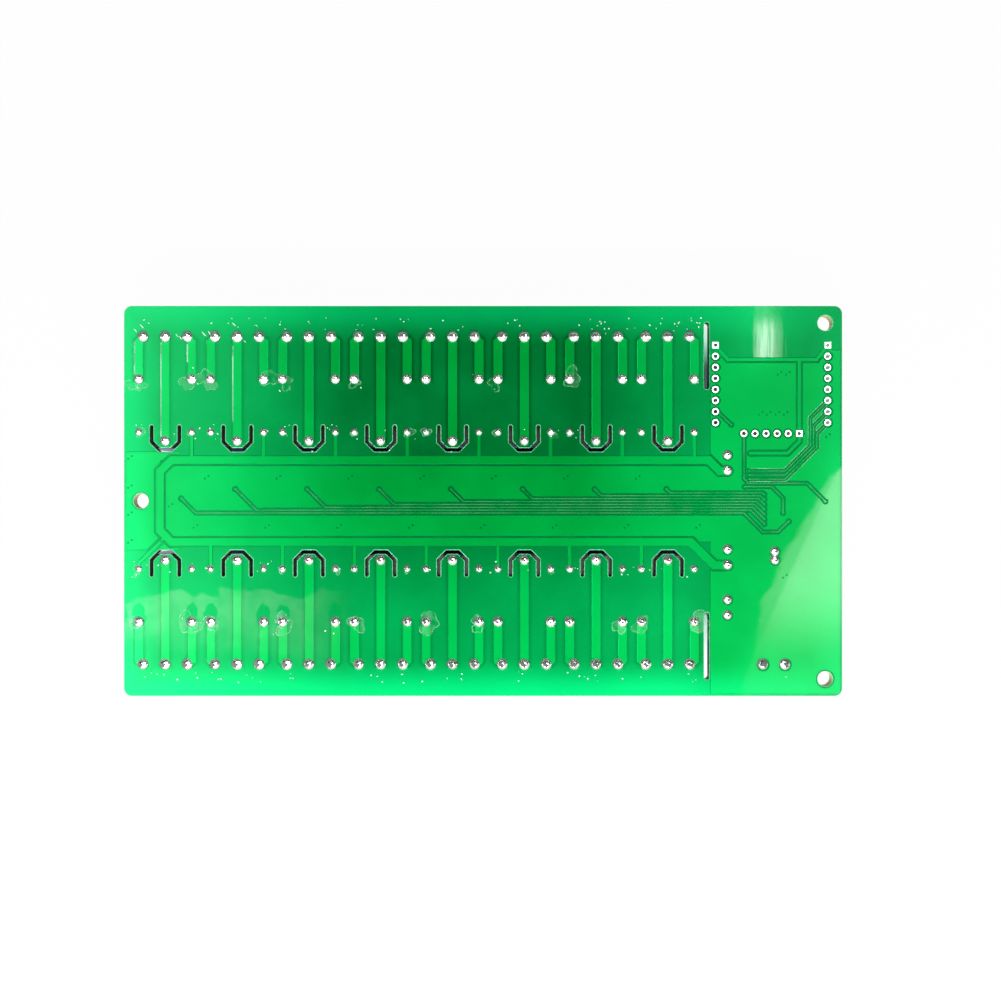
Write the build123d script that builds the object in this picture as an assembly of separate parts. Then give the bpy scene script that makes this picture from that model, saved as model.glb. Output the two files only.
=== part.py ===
from build123d import *
from math import atan, cos, degrees, pi
import os

# Wifi relay board: sixteen sealed relays, their screw terminals and a wifi control bay on one
# circuit board. It lies solder side up, on the tops of its relays.
# Frame: +X towards the wifi end, +Y towards one long edge, +Z out of the solder side. The origin is
# on the rest plane, under the middle of the board. Lengths are in millimetres.

# ---- Circuit board ----
BOARD_THICKNESS = 1.6
BOARD_CORNER_RADIUS = 1.8
BOARD_EDGE_MARGIN = 3.05        # terminal block to the long edge
FIRST_COLUMN_INSET = 9.5        # short edge to the first relay column
CONTROL_BAY_LENGTH = 32.3       # last relay to the other short edge
SCREW_HOLE_DIAMETER = 3.5
SCREW_HOLE_INSET = 3.9          # hole centre to each edge beside it
DRILL_CLEARANCE = 0.1           # round each pin in its drilled hole

# ---- Relays: two rows of eight ----
COLUMNS = 8
RELAY_WIDTH = 15.4
RELAY_LENGTH = 19.2
RELAY_HEIGHT = 15.3
RELAY_CORNER = 0.9
RELAY_TOP_BEVEL = 0.5
RELAY_DRAFT_ANGLE = 0.6
RELAY_GAP = 1.1                 # between neighbours in a row
ROW_HALF_GAP = 12.35            # board's middle line to each row
COMMON_PIN_INSET = 1.35         # case end to the common contact's pin
COIL_PIN_STEP = 2.0             # common pin to the coil pins, along the relay
CONTACT_PIN_STEP = 14.2         # common pin to the two switched contacts' pins
RELAY_PIN_HALF_SPAN = 6.07
CONTACT_PIN_SIZE = 0.95
COIL_PIN_SIZE = 0.6

# ---- Screw terminal blocks ----
TERMINAL_PITCH = 5.08
TERMINAL_WAYS = 3
TERMINAL_DEPTH = 8.1
TERMINAL_HEIGHT = 10.2
TERMINAL_GAP = 1.26             # least gap between neighbouring blocks
TERMINAL_PIN_SETBACK = 4.1      # wire face to the pin row
TERMINAL_RELAY_GAP = 2.1
TERMINAL_PIN_SIZE = 1.0
SHOULDER_HEIGHT = 6.7
REAR_SHOULDER = 1.1
FRONT_SHOULDER = 1.5
FOOT_HEIGHT = 1.3
FOOT_LIP = 0.5
WIRE_ENTRY_WIDTH = 3.4
WIRE_ENTRY_HEIGHT = 3.6
WIRE_ENTRY_SILL = 2.0           # board to the lower edge of the wire entry
WIRE_ENTRY_DEPTH = 5.2
SCREW_WELL_RADIUS = 1.95
SCREW_WELL_DEPTH = 3.4
POWER_WAYS = 2
POWER_BLOCK_X_INSET = 15.65     # short edge to the middle of the power block

# ---- Isolation slots, milled through the board ----
GUARD_SLOT_WIDTH = 0.85
GUARD_SLOT_HALF_SPAN = 3.19     # middle of the slot to its arms
GUARD_SLOT_BACKSET = 1.96       # common pin to the slot's closed end
GUARD_SLOT_CORNER = 1.84
GUARD_SLOT_ARM = 3.7
BAY_SLOT_WIDTH = 1.25
BAY_SLOT_LENGTH = 15.5
BAY_SLOT_EDGE = 3.7             # long edge to the slot's end
BAY_SLOT_CLEARANCE = 0.55       # last relay to the slot

# ---- Copper foil, under the green mask ----
FOIL_THICKNESS = 0.07
CONTACT_TRACK_WIDTH = 2.1
RAIL_WIDTH = 2.0
RAIL_CORNER = 2.6
RAIL_TO_SLOT = 0.9
RAIL_INSET = 8.3                # short edge to the middle of the cross rail
UPPER_RAIL_RUN = 1.8            # level end of the upper rail, to the middle of its joint
LOWER_RAIL_RUN = 3.0
COIL_BRANCH_WIDTH = 0.95
FOIL_GAP = 0.4                  # bare strip between neighbouring foils
POUR_EDGE = 0.5                 # bare strip along the board's edges
POUR_TOP_INSET = 11.8           # long edge to the pour, which stays clear of the aerial
END_POUR_HALF_LENGTH = 11.2

# ---- Solder joints ----
TERMINAL_JOINT_RING = 0.42      # solder beyond the drilled hole's corners
CONTACT_JOINT_RING = 0.27
CAPACITOR_JOINT_RING = 0.35
COIL_JOINT_RING = 0.2
TERMINAL_JOINT_HEIGHT = 1.6
CONTACT_JOINT_HEIGHT = 1.4
SMALL_JOINT_HEIGHT = 1.1
JOINT_TIP_MARGIN = 0.08         # solder round the pin at the joint's top

# ---- Control bay ----
HEADER_PITCH = 2.54
HEADER_PINS = 8
SERIAL_HEADER_PINS = 6
HEADER_HOLE_DIAMETER = 1.0
HEADER_TOP_INSET = 9.02         # long edge to the first hole of each side header
HEADER_HALF_SPAN = 12.9         # wifi module's middle to each side header
SERIAL_HEADER_DROP = 2.5        # last side hole to the serial header
WIFI_WIDTH = 16.0
WIFI_LENGTH = 24.0
WIFI_THICKNESS = 0.8
WIFI_X_INSET = 16.2             # short edge to the middle of the module
WIFI_EDGE = 2.1                 # long edge to the module's aerial end
SHIELD_WIDTH = 12.2
SHIELD_LENGTH = 15.0
SHIELD_HEIGHT = 2.4
SHIELD_MARGIN = 1.2
CAPACITOR_DIAMETER = 8.0
CAPACITOR_HEIGHT = 12.0
CAPACITOR_PITCH = 3.6
CAPACITOR_CLEARANCE = 2.0       # last relay to the capacitors
CAPACITOR_ROWS = (8.7, -13.0, -24.55)
SMALL_CAPACITOR_DIAMETER = 5.0
SMALL_CAPACITOR_HEIGHT = 11.0
SMALL_CAPACITOR_PITCH = 2.0
SMALL_CAPACITOR_X_INSET = 15.4
SMALL_CAPACITOR_Y = -12.7
CAPACITOR_LEAD_SIZE = 0.6
CAN_SIDES = 16
REGISTER_WIDTH = 3.9
REGISTER_LENGTH = 9.9
REGISTER_HEIGHT = 1.6
REGISTER_SPACING = 9.0
CONVERTER_SIZE = (5.0, 4.0, 1.6)
INDUCTOR_SIZE = 12.0
INDUCTOR_GAP = 0.65             # capacitors to the choke
INDUCTOR_CORNER = 3.0
INDUCTOR_HEIGHT = 6.5
RECTIFIER_SIZE = (4.4, 2.6, 2.3)
RECTIFIER_GAP = 1.4             # choke to the rectifier

# ---- Small parts of each channel ----
TRANSISTOR_SIZE = (2.9, 1.4, 1.1)
DIODE_SIZE = (1.6, 2.7, 1.2)
LAMP_SIZE = (2.0, 1.25, 0.8)
CHANNEL_PART_SPACING = 3.8

# ---- Sizes that follow ----
relay_base_z = RELAY_HEIGHT
solder_face_z = relay_base_z + BOARD_THICKNESS
terminal_length = TERMINAL_PITCH * TERMINAL_WAYS
column_pitch = max(RELAY_WIDTH + RELAY_GAP, terminal_length + TERMINAL_GAP)
terminal_rear_y = ROW_HALF_GAP + RELAY_LENGTH + TERMINAL_RELAY_GAP
terminal_face_y = terminal_rear_y + TERMINAL_DEPTH
half_width = terminal_face_y + BOARD_EDGE_MARGIN
half_length = (FIRST_COLUMN_INSET + (COLUMNS - 1) * column_pitch
               + RELAY_WIDTH / 2 + CONTROL_BAY_LENGTH) / 2
common_pin_y = ROW_HALF_GAP + COMMON_PIN_INSET
coil_pin_y = common_pin_y + COIL_PIN_STEP
contact_pin_y = common_pin_y + CONTACT_PIN_STEP
terminal_pin_y = terminal_face_y - TERMINAL_PIN_SETBACK
last_relay_x = half_length - CONTROL_BAY_LENGTH
guard_slot_y = common_pin_y - GUARD_SLOT_BACKSET
rail_y = guard_slot_y - GUARD_SLOT_WIDTH / 2 - RAIL_TO_SLOT - RAIL_WIDTH / 2
rail_x = RAIL_INSET - half_length
bay_slot_x = last_relay_x + BAY_SLOT_CLEARANCE + BAY_SLOT_WIDTH / 2
bay_slot_y = half_width - BAY_SLOT_EDGE - BAY_SLOT_LENGTH / 2
capacitor_x = last_relay_x + CAPACITOR_CLEARANCE + CAPACITOR_DIAMETER / 2
small_capacitor_x = half_length - SMALL_CAPACITOR_X_INSET
wifi_x = half_length - WIFI_X_INSET
wifi_y = half_width - WIFI_EDGE - WIFI_LENGTH / 2
power_x = half_length - POWER_BLOCK_X_INSET
inductor_x = capacitor_x + CAPACITOR_DIAMETER / 2 + INDUCTOR_GAP + INDUCTOR_SIZE / 2
inductor_y = CAPACITOR_ROWS[-1]
rectifier_x = inductor_x + INDUCTOR_SIZE / 2 + RECTIFIER_GAP + RECTIFIER_SIZE[0] / 2
header_top_y = half_width - HEADER_TOP_INSET
serial_header_y = header_top_y - (HEADER_PINS - 1) * HEADER_PITCH - SERIAL_HEADER_DROP


def hole_size(pin_size):
    """Side of the drilled hole, drawn square, that passes a pin."""
    return pin_size + 2 * DRILL_CLEARANCE


def joint_radius(pin_size, ring):
    """Corner radius of a solder joint that covers its hole with solder to spare."""
    return hole_size(pin_size) * 2 ** 0.5 / 2 + ring


contact_joint_radius = joint_radius(CONTACT_PIN_SIZE, CONTACT_JOINT_RING)
terminal_joint_radius = joint_radius(TERMINAL_PIN_SIZE, TERMINAL_JOINT_RING)
capacitor_joint_radius = joint_radius(CAPACITOR_LEAD_SIZE, CAPACITOR_JOINT_RING)
coil_joint_radius = joint_radius(COIL_PIN_SIZE, COIL_JOINT_RING)
coil_joint_edge_y = coil_joint_radius * cos(pi / 4) - coil_pin_y


# ---- Places ----
def channel_places():
    """Frame of each relay channel: its own +Y points from the middle line to its long edge."""
    places = []
    for turn in (0, 180):
        for column in range(COLUMNS):
            x = FIRST_COLUMN_INSET - half_length + column * column_pitch
            places.append(Pos(x, 0, 0) * Rot(0, 0, turn))
    return places


CONTACT_POINTS = [(0, common_pin_y), (-RELAY_PIN_HALF_SPAN, contact_pin_y),
                  (RELAY_PIN_HALF_SPAN, contact_pin_y)]
COIL_POINTS = [(-RELAY_PIN_HALF_SPAN, coil_pin_y), (RELAY_PIN_HALF_SPAN, coil_pin_y)]


def way_offsets(ways):
    """Places of a terminal block's ways along its length, about its middle."""
    return [(way - (ways - 1) / 2) * TERMINAL_PITCH for way in range(ways)]


def channel_points(points):
    """The same points of every channel, in the board's frame."""
    return [(place * Pos(x, y, 0)).position for place in channel_places() for x, y in points]


def terminal_points():
    """Pins of the sixteen relay blocks, then those of the power block."""
    relay_side = channel_points([(x, terminal_pin_y) for x in way_offsets(TERMINAL_WAYS)])
    power_side = [Vector(power_x + x, -terminal_pin_y) for x in way_offsets(POWER_WAYS)]
    return relay_side + power_side


def capacitor_points():
    """Both leads of each capacitor."""
    leads = []
    for side in (-1, 1):
        leads += [Vector(capacitor_x, y + side * CAPACITOR_PITCH / 2) for y in CAPACITOR_ROWS]
        leads.append(Vector(small_capacitor_x, SMALL_CAPACITOR_Y + side * SMALL_CAPACITOR_PITCH / 2))
    return leads


def header_points():
    """Open holes for two side headers and the serial header between them."""
    rows = [header_top_y - pin * HEADER_PITCH for pin in range(HEADER_PINS)]
    sides = [Vector(wifi_x + side * HEADER_HALF_SPAN, y) for side in (-1, 1) for y in rows]
    middle = (SERIAL_HEADER_PINS - 1) / 2
    serial = [Vector(wifi_x + (pin - middle) * HEADER_PITCH, serial_header_y)
              for pin in range(SERIAL_HEADER_PINS)]
    return sides + serial


def screw_points():
    """Two holes at the wifi end and one in the middle of the other short edge."""
    near_x = half_length - SCREW_HOLE_INSET
    near_y = half_width - SCREW_HOLE_INSET
    return [Vector(near_x, near_y), Vector(near_x, -near_y), Vector(-near_x, 0)]


# ---- Shapes ----
def strip(points, width):
    """Face of even width along a path, with mitred corners and square ends."""
    path = [Vector(*point) for point in points]
    steps = [(end - start).normalized() for start, end in zip(path, path[1:])]
    left, right = [], []
    for index, point in enumerate(path):
        before = steps[max(index - 1, 0)]
        after = steps[min(index, len(steps) - 1)]
        side = Vector(-before.Y, before.X)
        mitre = (side + Vector(-after.Y, after.X)).normalized()
        reach = width / 2 / mitre.dot(side)
        left.append(point + mitre * reach)
        right.append(point - mitre * reach)
    return make_face(Polyline(*left, *reversed(right), close=True))


def short_of(start, end, distance):
    """Point on the way from start to end that stays a distance from the end."""
    run = Vector(*end) - Vector(*start)
    stop = Vector(*end) - run.normalized() * distance
    return stop.X, stop.Y


def guard_slot():
    """Five straight cuts that wrap the common contact's pin."""
    arm_y = guard_slot_y + GUARD_SLOT_CORNER + GUARD_SLOT_ARM
    corner_y = guard_slot_y + GUARD_SLOT_CORNER
    end_x = GUARD_SLOT_HALF_SPAN - GUARD_SLOT_CORNER
    path = [(-GUARD_SLOT_HALF_SPAN, arm_y), (-GUARD_SLOT_HALF_SPAN, corner_y), (-end_x, guard_slot_y),
            (end_x, guard_slot_y), (GUARD_SLOT_HALF_SPAN, corner_y), (GUARD_SLOT_HALF_SPAN, arm_y)]
    return strip(path, GUARD_SLOT_WIDTH)


def circuit_board():
    """Laminate with every hole and slot in one profile."""
    cuts = [place * guard_slot() for place in channel_places()]
    bay_slot = SlotOverall(BAY_SLOT_LENGTH, BAY_SLOT_WIDTH, rotation=90)
    cuts += [Pos(bay_slot_x, side * bay_slot_y) * bay_slot for side in (-1, 1)]
    cuts += [Pos(*point) * Circle(SCREW_HOLE_DIAMETER / 2) for point in screw_points()]
    cuts += [Pos(*point) * RegularPolygon(HEADER_HOLE_DIAMETER / 2, 6) for point in header_points()]
    drilled = [(channel_points(CONTACT_POINTS), CONTACT_PIN_SIZE),
               (channel_points(COIL_POINTS), COIL_PIN_SIZE),
               (terminal_points(), TERMINAL_PIN_SIZE),
               (capacitor_points(), CAPACITOR_LEAD_SIZE)]
    for points, pin_size in drilled:
        side = hole_size(pin_size)
        cuts += [Pos(*point) * Rectangle(side, side) for point in points]
    blank = RectangleRounded(2 * half_length, 2 * half_width, BOARD_CORNER_RADIUS)
    return Pos(0, 0, relay_base_z) * extrude(blank - cuts, BOARD_THICKNESS)


def foil(outline):
    """Etched copper on the solder face."""
    return Pos(0, 0, solder_face_z) * extrude(outline, FOIL_THICKNESS)


def contact_tracks():
    """Each relay contact's track to its terminal, from joint to joint."""
    clear_of_relay = contact_joint_radius * cos(pi / 6)
    end_y = terminal_pin_y - terminal_joint_radius * cos(pi / 6)
    common = strip([(0, common_pin_y + clear_of_relay), (0, end_y)], CONTACT_TRACK_WIDTH)
    start_y = contact_pin_y + clear_of_relay
    near_x = RELAY_PIN_HALF_SPAN - CONTACT_TRACK_WIDTH / 2
    far_x = RELAY_PIN_HALF_SPAN + CONTACT_TRACK_WIDTH / 2
    slant = RELAY_PIN_HALF_SPAN - TERMINAL_PITCH
    switched = make_face(Polyline((near_x, start_y), (far_x, start_y), (far_x, end_y - slant),
                                  (far_x - slant, end_y), (near_x, end_y), close=True))
    tracks = (common, switched, mirror(switched, about=Plane.YZ))
    return [foil(place * track) for place in channel_places() for track in tracks]


def supply_path():
    """Middle line of the supply rail: a long loop whose ends step outwards to two capacitor joints."""
    upper = (capacitor_x, CAPACITOR_ROWS[0] - CAPACITOR_PITCH / 2)
    lower = (capacitor_x, CAPACITOR_ROWS[1] - CAPACITOR_PITCH / 2)
    upper_level = (capacitor_x - UPPER_RAIL_RUN, upper[1])
    lower_level = (capacitor_x - LOWER_RAIL_RUN, lower[1])
    upper_turn = (upper_level[0] - (rail_y - upper[1]), rail_y)
    lower_turn = (lower_level[0] - (-rail_y - lower[1]), -rail_y)
    reach = capacitor_joint_radius + DRILL_CLEARANCE
    return [short_of(upper_level, upper, reach), upper_level, upper_turn,
            (rail_x + RAIL_CORNER, rail_y), (rail_x, rail_y - RAIL_CORNER),
            (rail_x, RAIL_CORNER - rail_y), (rail_x + RAIL_CORNER, -rail_y),
            lower_turn, lower_level, short_of(lower_level, lower, reach)]


def corner_branch():
    """Middle line of the coil branch that leaves the loop slantwise, at its lower left corner."""
    corner_x = rail_x + RAIL_CORNER / 2
    corner_y = RAIL_CORNER / 2 - rail_y
    pin_x = FIRST_COLUMN_INSET - half_length - RELAY_PIN_HALF_SPAN
    turn_y = corner_y - (corner_x - pin_x)
    return [(corner_x, corner_y), (pin_x, turn_y), (pin_x, coil_joint_edge_y)]


def supply_rails():
    """Both long rails, the cross rail and a branch to each relay's coil."""
    outline = strip(supply_path(), RAIL_WIDTH) + strip(corner_branch(), COIL_BRANCH_WIDTH)
    branch = [(RELAY_PIN_HALF_SPAN, rail_y), (RELAY_PIN_HALF_SPAN, -coil_joint_edge_y)]
    for place in channel_places():
        if (place * Pos(*branch[0])).position.X > rail_x:
            outline += place * strip(branch, COIL_BRANCH_WIDTH)
    return foil(outline)


def window(first, last, margin):
    """Clearing in the ground pour round two points, or round one given twice."""
    middle = (first + last) / 2
    span = last - first
    return Pos(middle.X, middle.Y) * Rectangle(abs(span.X) + 2 * margin, abs(span.Y) + 2 * margin)


def ground_pour():
    """Field of foil inside the supply loop and over the control bay, and a patch at the far end."""
    bay_x = bay_slot_x + BAY_SLOT_WIDTH / 2 + FOIL_GAP
    end_x = half_length - POUR_EDGE
    end_y = half_width - POUR_EDGE
    top_y = half_width - POUR_TOP_INSET
    core_x = rail_x + RAIL_WIDTH / 2 + FOIL_GAP
    core = Pos((core_x + bay_x) / 2, 0) * Rectangle(bay_x - core_x, 2 * (rail_y - RAIL_WIDTH / 2))
    bay = Pos((bay_x + end_x) / 2, (top_y - end_y) / 2) * Rectangle(end_x - bay_x, top_y + end_y)
    pour = core + bay - strip(supply_path(), RAIL_WIDTH + 2 * FOIL_GAP)
    leads = capacitor_points()
    pairs = len(leads) // 2
    pour -= [window(leads[index], leads[index + pairs], capacitor_joint_radius + FOIL_GAP)
             for index in range(pairs)]
    power = terminal_points()[-POWER_WAYS:]
    pour -= window(power[0], power[-1], terminal_joint_radius + FOIL_GAP)
    screw_gap = SCREW_HOLE_DIAMETER / 2 + FOIL_GAP
    pour -= [window(point, point, screw_gap) for point in screw_points()]
    holes = header_points()
    left, right, serial = holes[:HEADER_PINS], holes[HEADER_PINS:2 * HEADER_PINS], holes[2 * HEADER_PINS:]
    pour -= [window(row[0], row[-1], HEADER_PITCH / 2) for row in (left, right, serial)]
    patch_x = rail_x - RAIL_WIDTH / 2 - FOIL_GAP
    patch = Pos((patch_x - end_x) / 2, 0) * Rectangle(patch_x + end_x, 2 * END_POUR_HALF_LENGTH)
    patch -= window(screw_points()[-1], screw_points()[-1], screw_gap)
    patch -= strip(corner_branch(), COIL_BRANCH_WIDTH + 2 * FOIL_GAP)
    return [foil(face) for face in pour.faces() + patch.faces()]


def solder_joints(points, pin_size, radius, height, sides):
    """Cones of solder, drawn with flat sides, that seat on the board over their pins."""
    flat = cos(pi / sides)
    tip = pin_size / 2 + JOINT_TIP_MARGIN
    slope = degrees(atan((radius * flat - tip) / height))
    turn = 45 if sides == 4 else 0
    cone = extrude(RegularPolygon(radius, sides, rotation=turn), height, taper=slope)
    return [Pos(point.X, point.Y, solder_face_z) * cone for point in points]


def pins(points, width, thickness):
    """Pins through the board, from the part that carries them to the solder."""
    pin = extrude(Rectangle(width, thickness), BOARD_THICKNESS)
    return [Pos(point.X, point.Y, relay_base_z) * pin for point in points]


def relay():
    """Sealed case with mitred corners, a slight draft and a bevelled top, which hangs lowest."""
    outline = chamfer(Rectangle(RELAY_WIDTH, RELAY_LENGTH).vertices(), RELAY_CORNER)
    case = extrude(outline, -RELAY_HEIGHT, taper=RELAY_DRAFT_ANGLE)
    case = chamfer(case.faces().sort_by(Axis.Z)[0].edges(), RELAY_TOP_BEVEL)
    return Pos(0, ROW_HALF_GAP + RELAY_LENGTH / 2, relay_base_z) * case


def terminal_block(ways):
    """Moulded block with shoulders, a wire entry for each way and a well for its screw."""
    rear, face = terminal_rear_y, terminal_face_y
    section = [(rear, 0), (rear, SHOULDER_HEIGHT), (rear + REAR_SHOULDER, TERMINAL_HEIGHT),
               (face - FRONT_SHOULDER, TERMINAL_HEIGHT), (face - FOOT_LIP, SHOULDER_HEIGHT),
               (face - FOOT_LIP, FOOT_HEIGHT), (face, FOOT_HEIGHT), (face, 0)]
    length = ways * TERMINAL_PITCH
    profile = make_face(Polyline(*[(0, y, -drop) for y, drop in section], close=True))
    block = extrude(profile, length / 2, dir=(1, 0, 0), both=True)
    deck_y = (rear + REAR_SHOULDER + face - FRONT_SHOULDER) / 2
    entry_y = face - FOOT_LIP - WIRE_ENTRY_DEPTH
    for x in way_offsets(ways):
        entry = Pos(x, entry_y, -WIRE_ENTRY_SILL) * Box(
            WIRE_ENTRY_WIDTH, 2 * WIRE_ENTRY_DEPTH, WIRE_ENTRY_HEIGHT,
            align=(Align.CENTER, Align.MIN, Align.MAX))
        well = Pos(x, deck_y, -TERMINAL_HEIGHT) * extrude(
            RegularPolygon(SCREW_WELL_RADIUS, 6), SCREW_WELL_DEPTH)
        block -= [entry, well]
    return Pos(0, 0, relay_base_z) * block


def capacitors():
    """Sealed cans, drawn with flat sides, that stand on the component side."""
    can = extrude(RegularPolygon(CAPACITOR_DIAMETER / 2, CAN_SIDES), -CAPACITOR_HEIGHT)
    small_can = extrude(RegularPolygon(SMALL_CAPACITOR_DIAMETER / 2, CAN_SIDES), -SMALL_CAPACITOR_HEIGHT)
    cans = [Pos(capacitor_x, y, relay_base_z) * can for y in CAPACITOR_ROWS]
    return cans + [Pos(small_capacitor_x, SMALL_CAPACITOR_Y, relay_base_z) * small_can]


def block_under(x, y, size, seat_z=relay_base_z):
    """Low rectangular part that hangs from a seat."""
    return Pos(x, y, seat_z) * Box(*size, align=(Align.CENTER, Align.CENTER, Align.MAX))


def each_channel(offset_x, offset_y, size):
    """One small part under every channel, beside the middle line."""
    return [place * block_under(offset_x, offset_y, size) for place in channel_places()]


def wifi_board():
    """Module board, soldered flat with its aerial at the board's edge."""
    return block_under(wifi_x, wifi_y, (WIFI_WIDTH, WIFI_LENGTH, WIFI_THICKNESS))


def wifi_shield():
    """Metal can over the module's chips, clear of the aerial."""
    y = wifi_y - WIFI_LENGTH / 2 + SHIELD_MARGIN + SHIELD_LENGTH / 2
    size = (SHIELD_WIDTH, SHIELD_LENGTH, SHIELD_HEIGHT)
    return block_under(wifi_x, y, size, relay_base_z - WIFI_THICKNESS)


def shift_registers():
    """Two flat packages beside the middle line."""
    size = (REGISTER_WIDTH, REGISTER_LENGTH, REGISTER_HEIGHT)
    return [block_under(wifi_x + side * REGISTER_SPACING / 2, 0, size) for side in (-1, 1)]


def inductor():
    """Moulded choke of the step-down converter."""
    outline = chamfer(Rectangle(INDUCTOR_SIZE, INDUCTOR_SIZE).vertices(), INDUCTOR_CORNER)
    return Pos(inductor_x, inductor_y, relay_base_z) * extrude(outline, -INDUCTOR_HEIGHT)


def write_node(name, shapes):
    """One STEP file for one named node."""
    pieces = shapes if isinstance(shapes, list) else [shapes]
    solids = [solid for piece in pieces for solid in piece.solids()]
    export_step(Compound(solids), f"parts/{name}.step")


def main():
    os.makedirs("parts", exist_ok=True)
    write_node("circuit_board", circuit_board())
    write_node("contact_tracks", contact_tracks())
    write_node("supply_rails", supply_rails())
    write_node("ground_pour", ground_pour())
    for number, place in enumerate(channel_places(), start=1):
        write_node(f"relay_{number:02d}", place * relay())
        write_node(f"terminal_block_{number:02d}", place * terminal_block(TERMINAL_WAYS))
    write_node("power_terminal_block", Pos(power_x, 0, 0) * Rot(0, 0, 180) * terminal_block(POWER_WAYS))
    contacts = channel_points(CONTACT_POINTS)
    coils = channel_points(COIL_POINTS)
    write_node("relay_contact_pins", pins(contacts, CONTACT_PIN_SIZE, CONTACT_PIN_SIZE / 2))
    write_node("relay_coil_pins", pins(coils, COIL_PIN_SIZE, COIL_PIN_SIZE))
    write_node("terminal_pins", pins(terminal_points(), TERMINAL_PIN_SIZE, TERMINAL_PIN_SIZE))
    write_node("capacitor_leads", pins(capacitor_points(), CAPACITOR_LEAD_SIZE, CAPACITOR_LEAD_SIZE))
    write_node("terminal_solder_joints", solder_joints(
        terminal_points(), TERMINAL_PIN_SIZE, terminal_joint_radius, TERMINAL_JOINT_HEIGHT, 6))
    write_node("contact_solder_joints", solder_joints(
        contacts, CONTACT_PIN_SIZE, contact_joint_radius, CONTACT_JOINT_HEIGHT, 6))
    write_node("coil_solder_joints", solder_joints(
        coils, COIL_PIN_SIZE, coil_joint_radius, SMALL_JOINT_HEIGHT, 4))
    write_node("capacitor_solder_joints", solder_joints(
        capacitor_points(), CAPACITOR_LEAD_SIZE, capacitor_joint_radius, SMALL_JOINT_HEIGHT, 6))
    write_node("capacitors", capacitors())
    write_node("wifi_module_board", wifi_board())
    write_node("wifi_module_shield", wifi_shield())
    write_node("shift_registers", shift_registers())
    part_y = ROW_HALF_GAP / 2
    write_node("driver_transistors", each_channel(0, part_y, TRANSISTOR_SIZE))
    write_node("flyback_diodes", each_channel(CHANNEL_PART_SPACING, part_y, DIODE_SIZE))
    write_node("indicator_lamps", each_channel(-CHANNEL_PART_SPACING, part_y, LAMP_SIZE))
    converter_y = inductor_y + INDUCTOR_SIZE / 2 + CONVERTER_SIZE[1]
    write_node("converter_chip", block_under(wifi_x + REGISTER_SPACING, converter_y, CONVERTER_SIZE))
    write_node("converter_inductor", inductor())
    write_node("input_rectifier", block_under(rectifier_x, inductor_y, RECTIFIER_SIZE))


main()
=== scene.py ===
from math import atan2, cos, hypot, pi, radians, sin, tan
from random import Random

import bmesh
import bpy
from mathutils import Matrix, Vector
from mathutils.geometry import delaunay_2d_cdt


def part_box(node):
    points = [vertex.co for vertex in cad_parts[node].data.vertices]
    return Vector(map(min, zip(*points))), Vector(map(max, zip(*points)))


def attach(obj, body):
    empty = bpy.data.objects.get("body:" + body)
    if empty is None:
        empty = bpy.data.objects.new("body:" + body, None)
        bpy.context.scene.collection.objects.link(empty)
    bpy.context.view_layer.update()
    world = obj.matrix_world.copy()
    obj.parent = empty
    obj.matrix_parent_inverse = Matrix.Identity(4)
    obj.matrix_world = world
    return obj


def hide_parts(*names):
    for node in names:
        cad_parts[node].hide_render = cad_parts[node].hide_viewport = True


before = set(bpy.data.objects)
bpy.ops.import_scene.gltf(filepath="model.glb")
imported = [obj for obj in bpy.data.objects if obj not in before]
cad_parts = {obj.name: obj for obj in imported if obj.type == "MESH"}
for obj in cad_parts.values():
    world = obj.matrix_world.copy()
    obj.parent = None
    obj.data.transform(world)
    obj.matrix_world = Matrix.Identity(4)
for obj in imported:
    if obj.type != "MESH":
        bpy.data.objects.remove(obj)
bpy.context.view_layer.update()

# A wifi relay board, seen on its solder side. Lengths and places are in millimetres until a mesh is
# made of them. The places come from the frame, and the sizes below are what the frame doesn't hold.

MM = 0.001

# ---- Sizes ----
BOARD_CORNER = 1.8
EDGE_BREAK = 0.06               # rounding of the board's routed edge
SLOT_RIM = 0.16                 # pale line where the router broke the mask beside a slot
HOLE_RIM = 0.12
SCREW_HOLE_RADIUS = 1.75
SCREW_HOLE_INSET = 3.9
PIN_HOLE_SLACK = 0.06
HEADER_HOLE_RADIUS = 0.45
HEADER_PAD_RADIUS = 0.81
HEADER_PITCH = 2.54
HEADER_SQUARE_RING = 0.74       # ring on a square pad
HEADER_EDGE = 9.02              # long edge to the first header hole
HEADER_HALF_SPAN = 12.9
SIDE_PINS = 8
SERIAL_PINS = 6
SERIAL_DROP = 2.5               # last side hole to the serial row

GUARD_SLOT_WIDTH = 0.85
GUARD_SLOT_SPAN = 3.19          # slot's middle to each arm
GUARD_SLOT_BACK = 1.96          # common pin to the closed end
GUARD_SLOT_CORNER = 1.84
GUARD_SLOT_ARM = 3.45
BAY_SLOT_WIDTH = 1.25
BAY_SLOT_LENGTH = 15.5
BAY_SLOT_EDGE = 3.7             # long edge to the slot's end
BAY_SLOT_CLEAR = 0.55           # last relay to the slot

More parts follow.
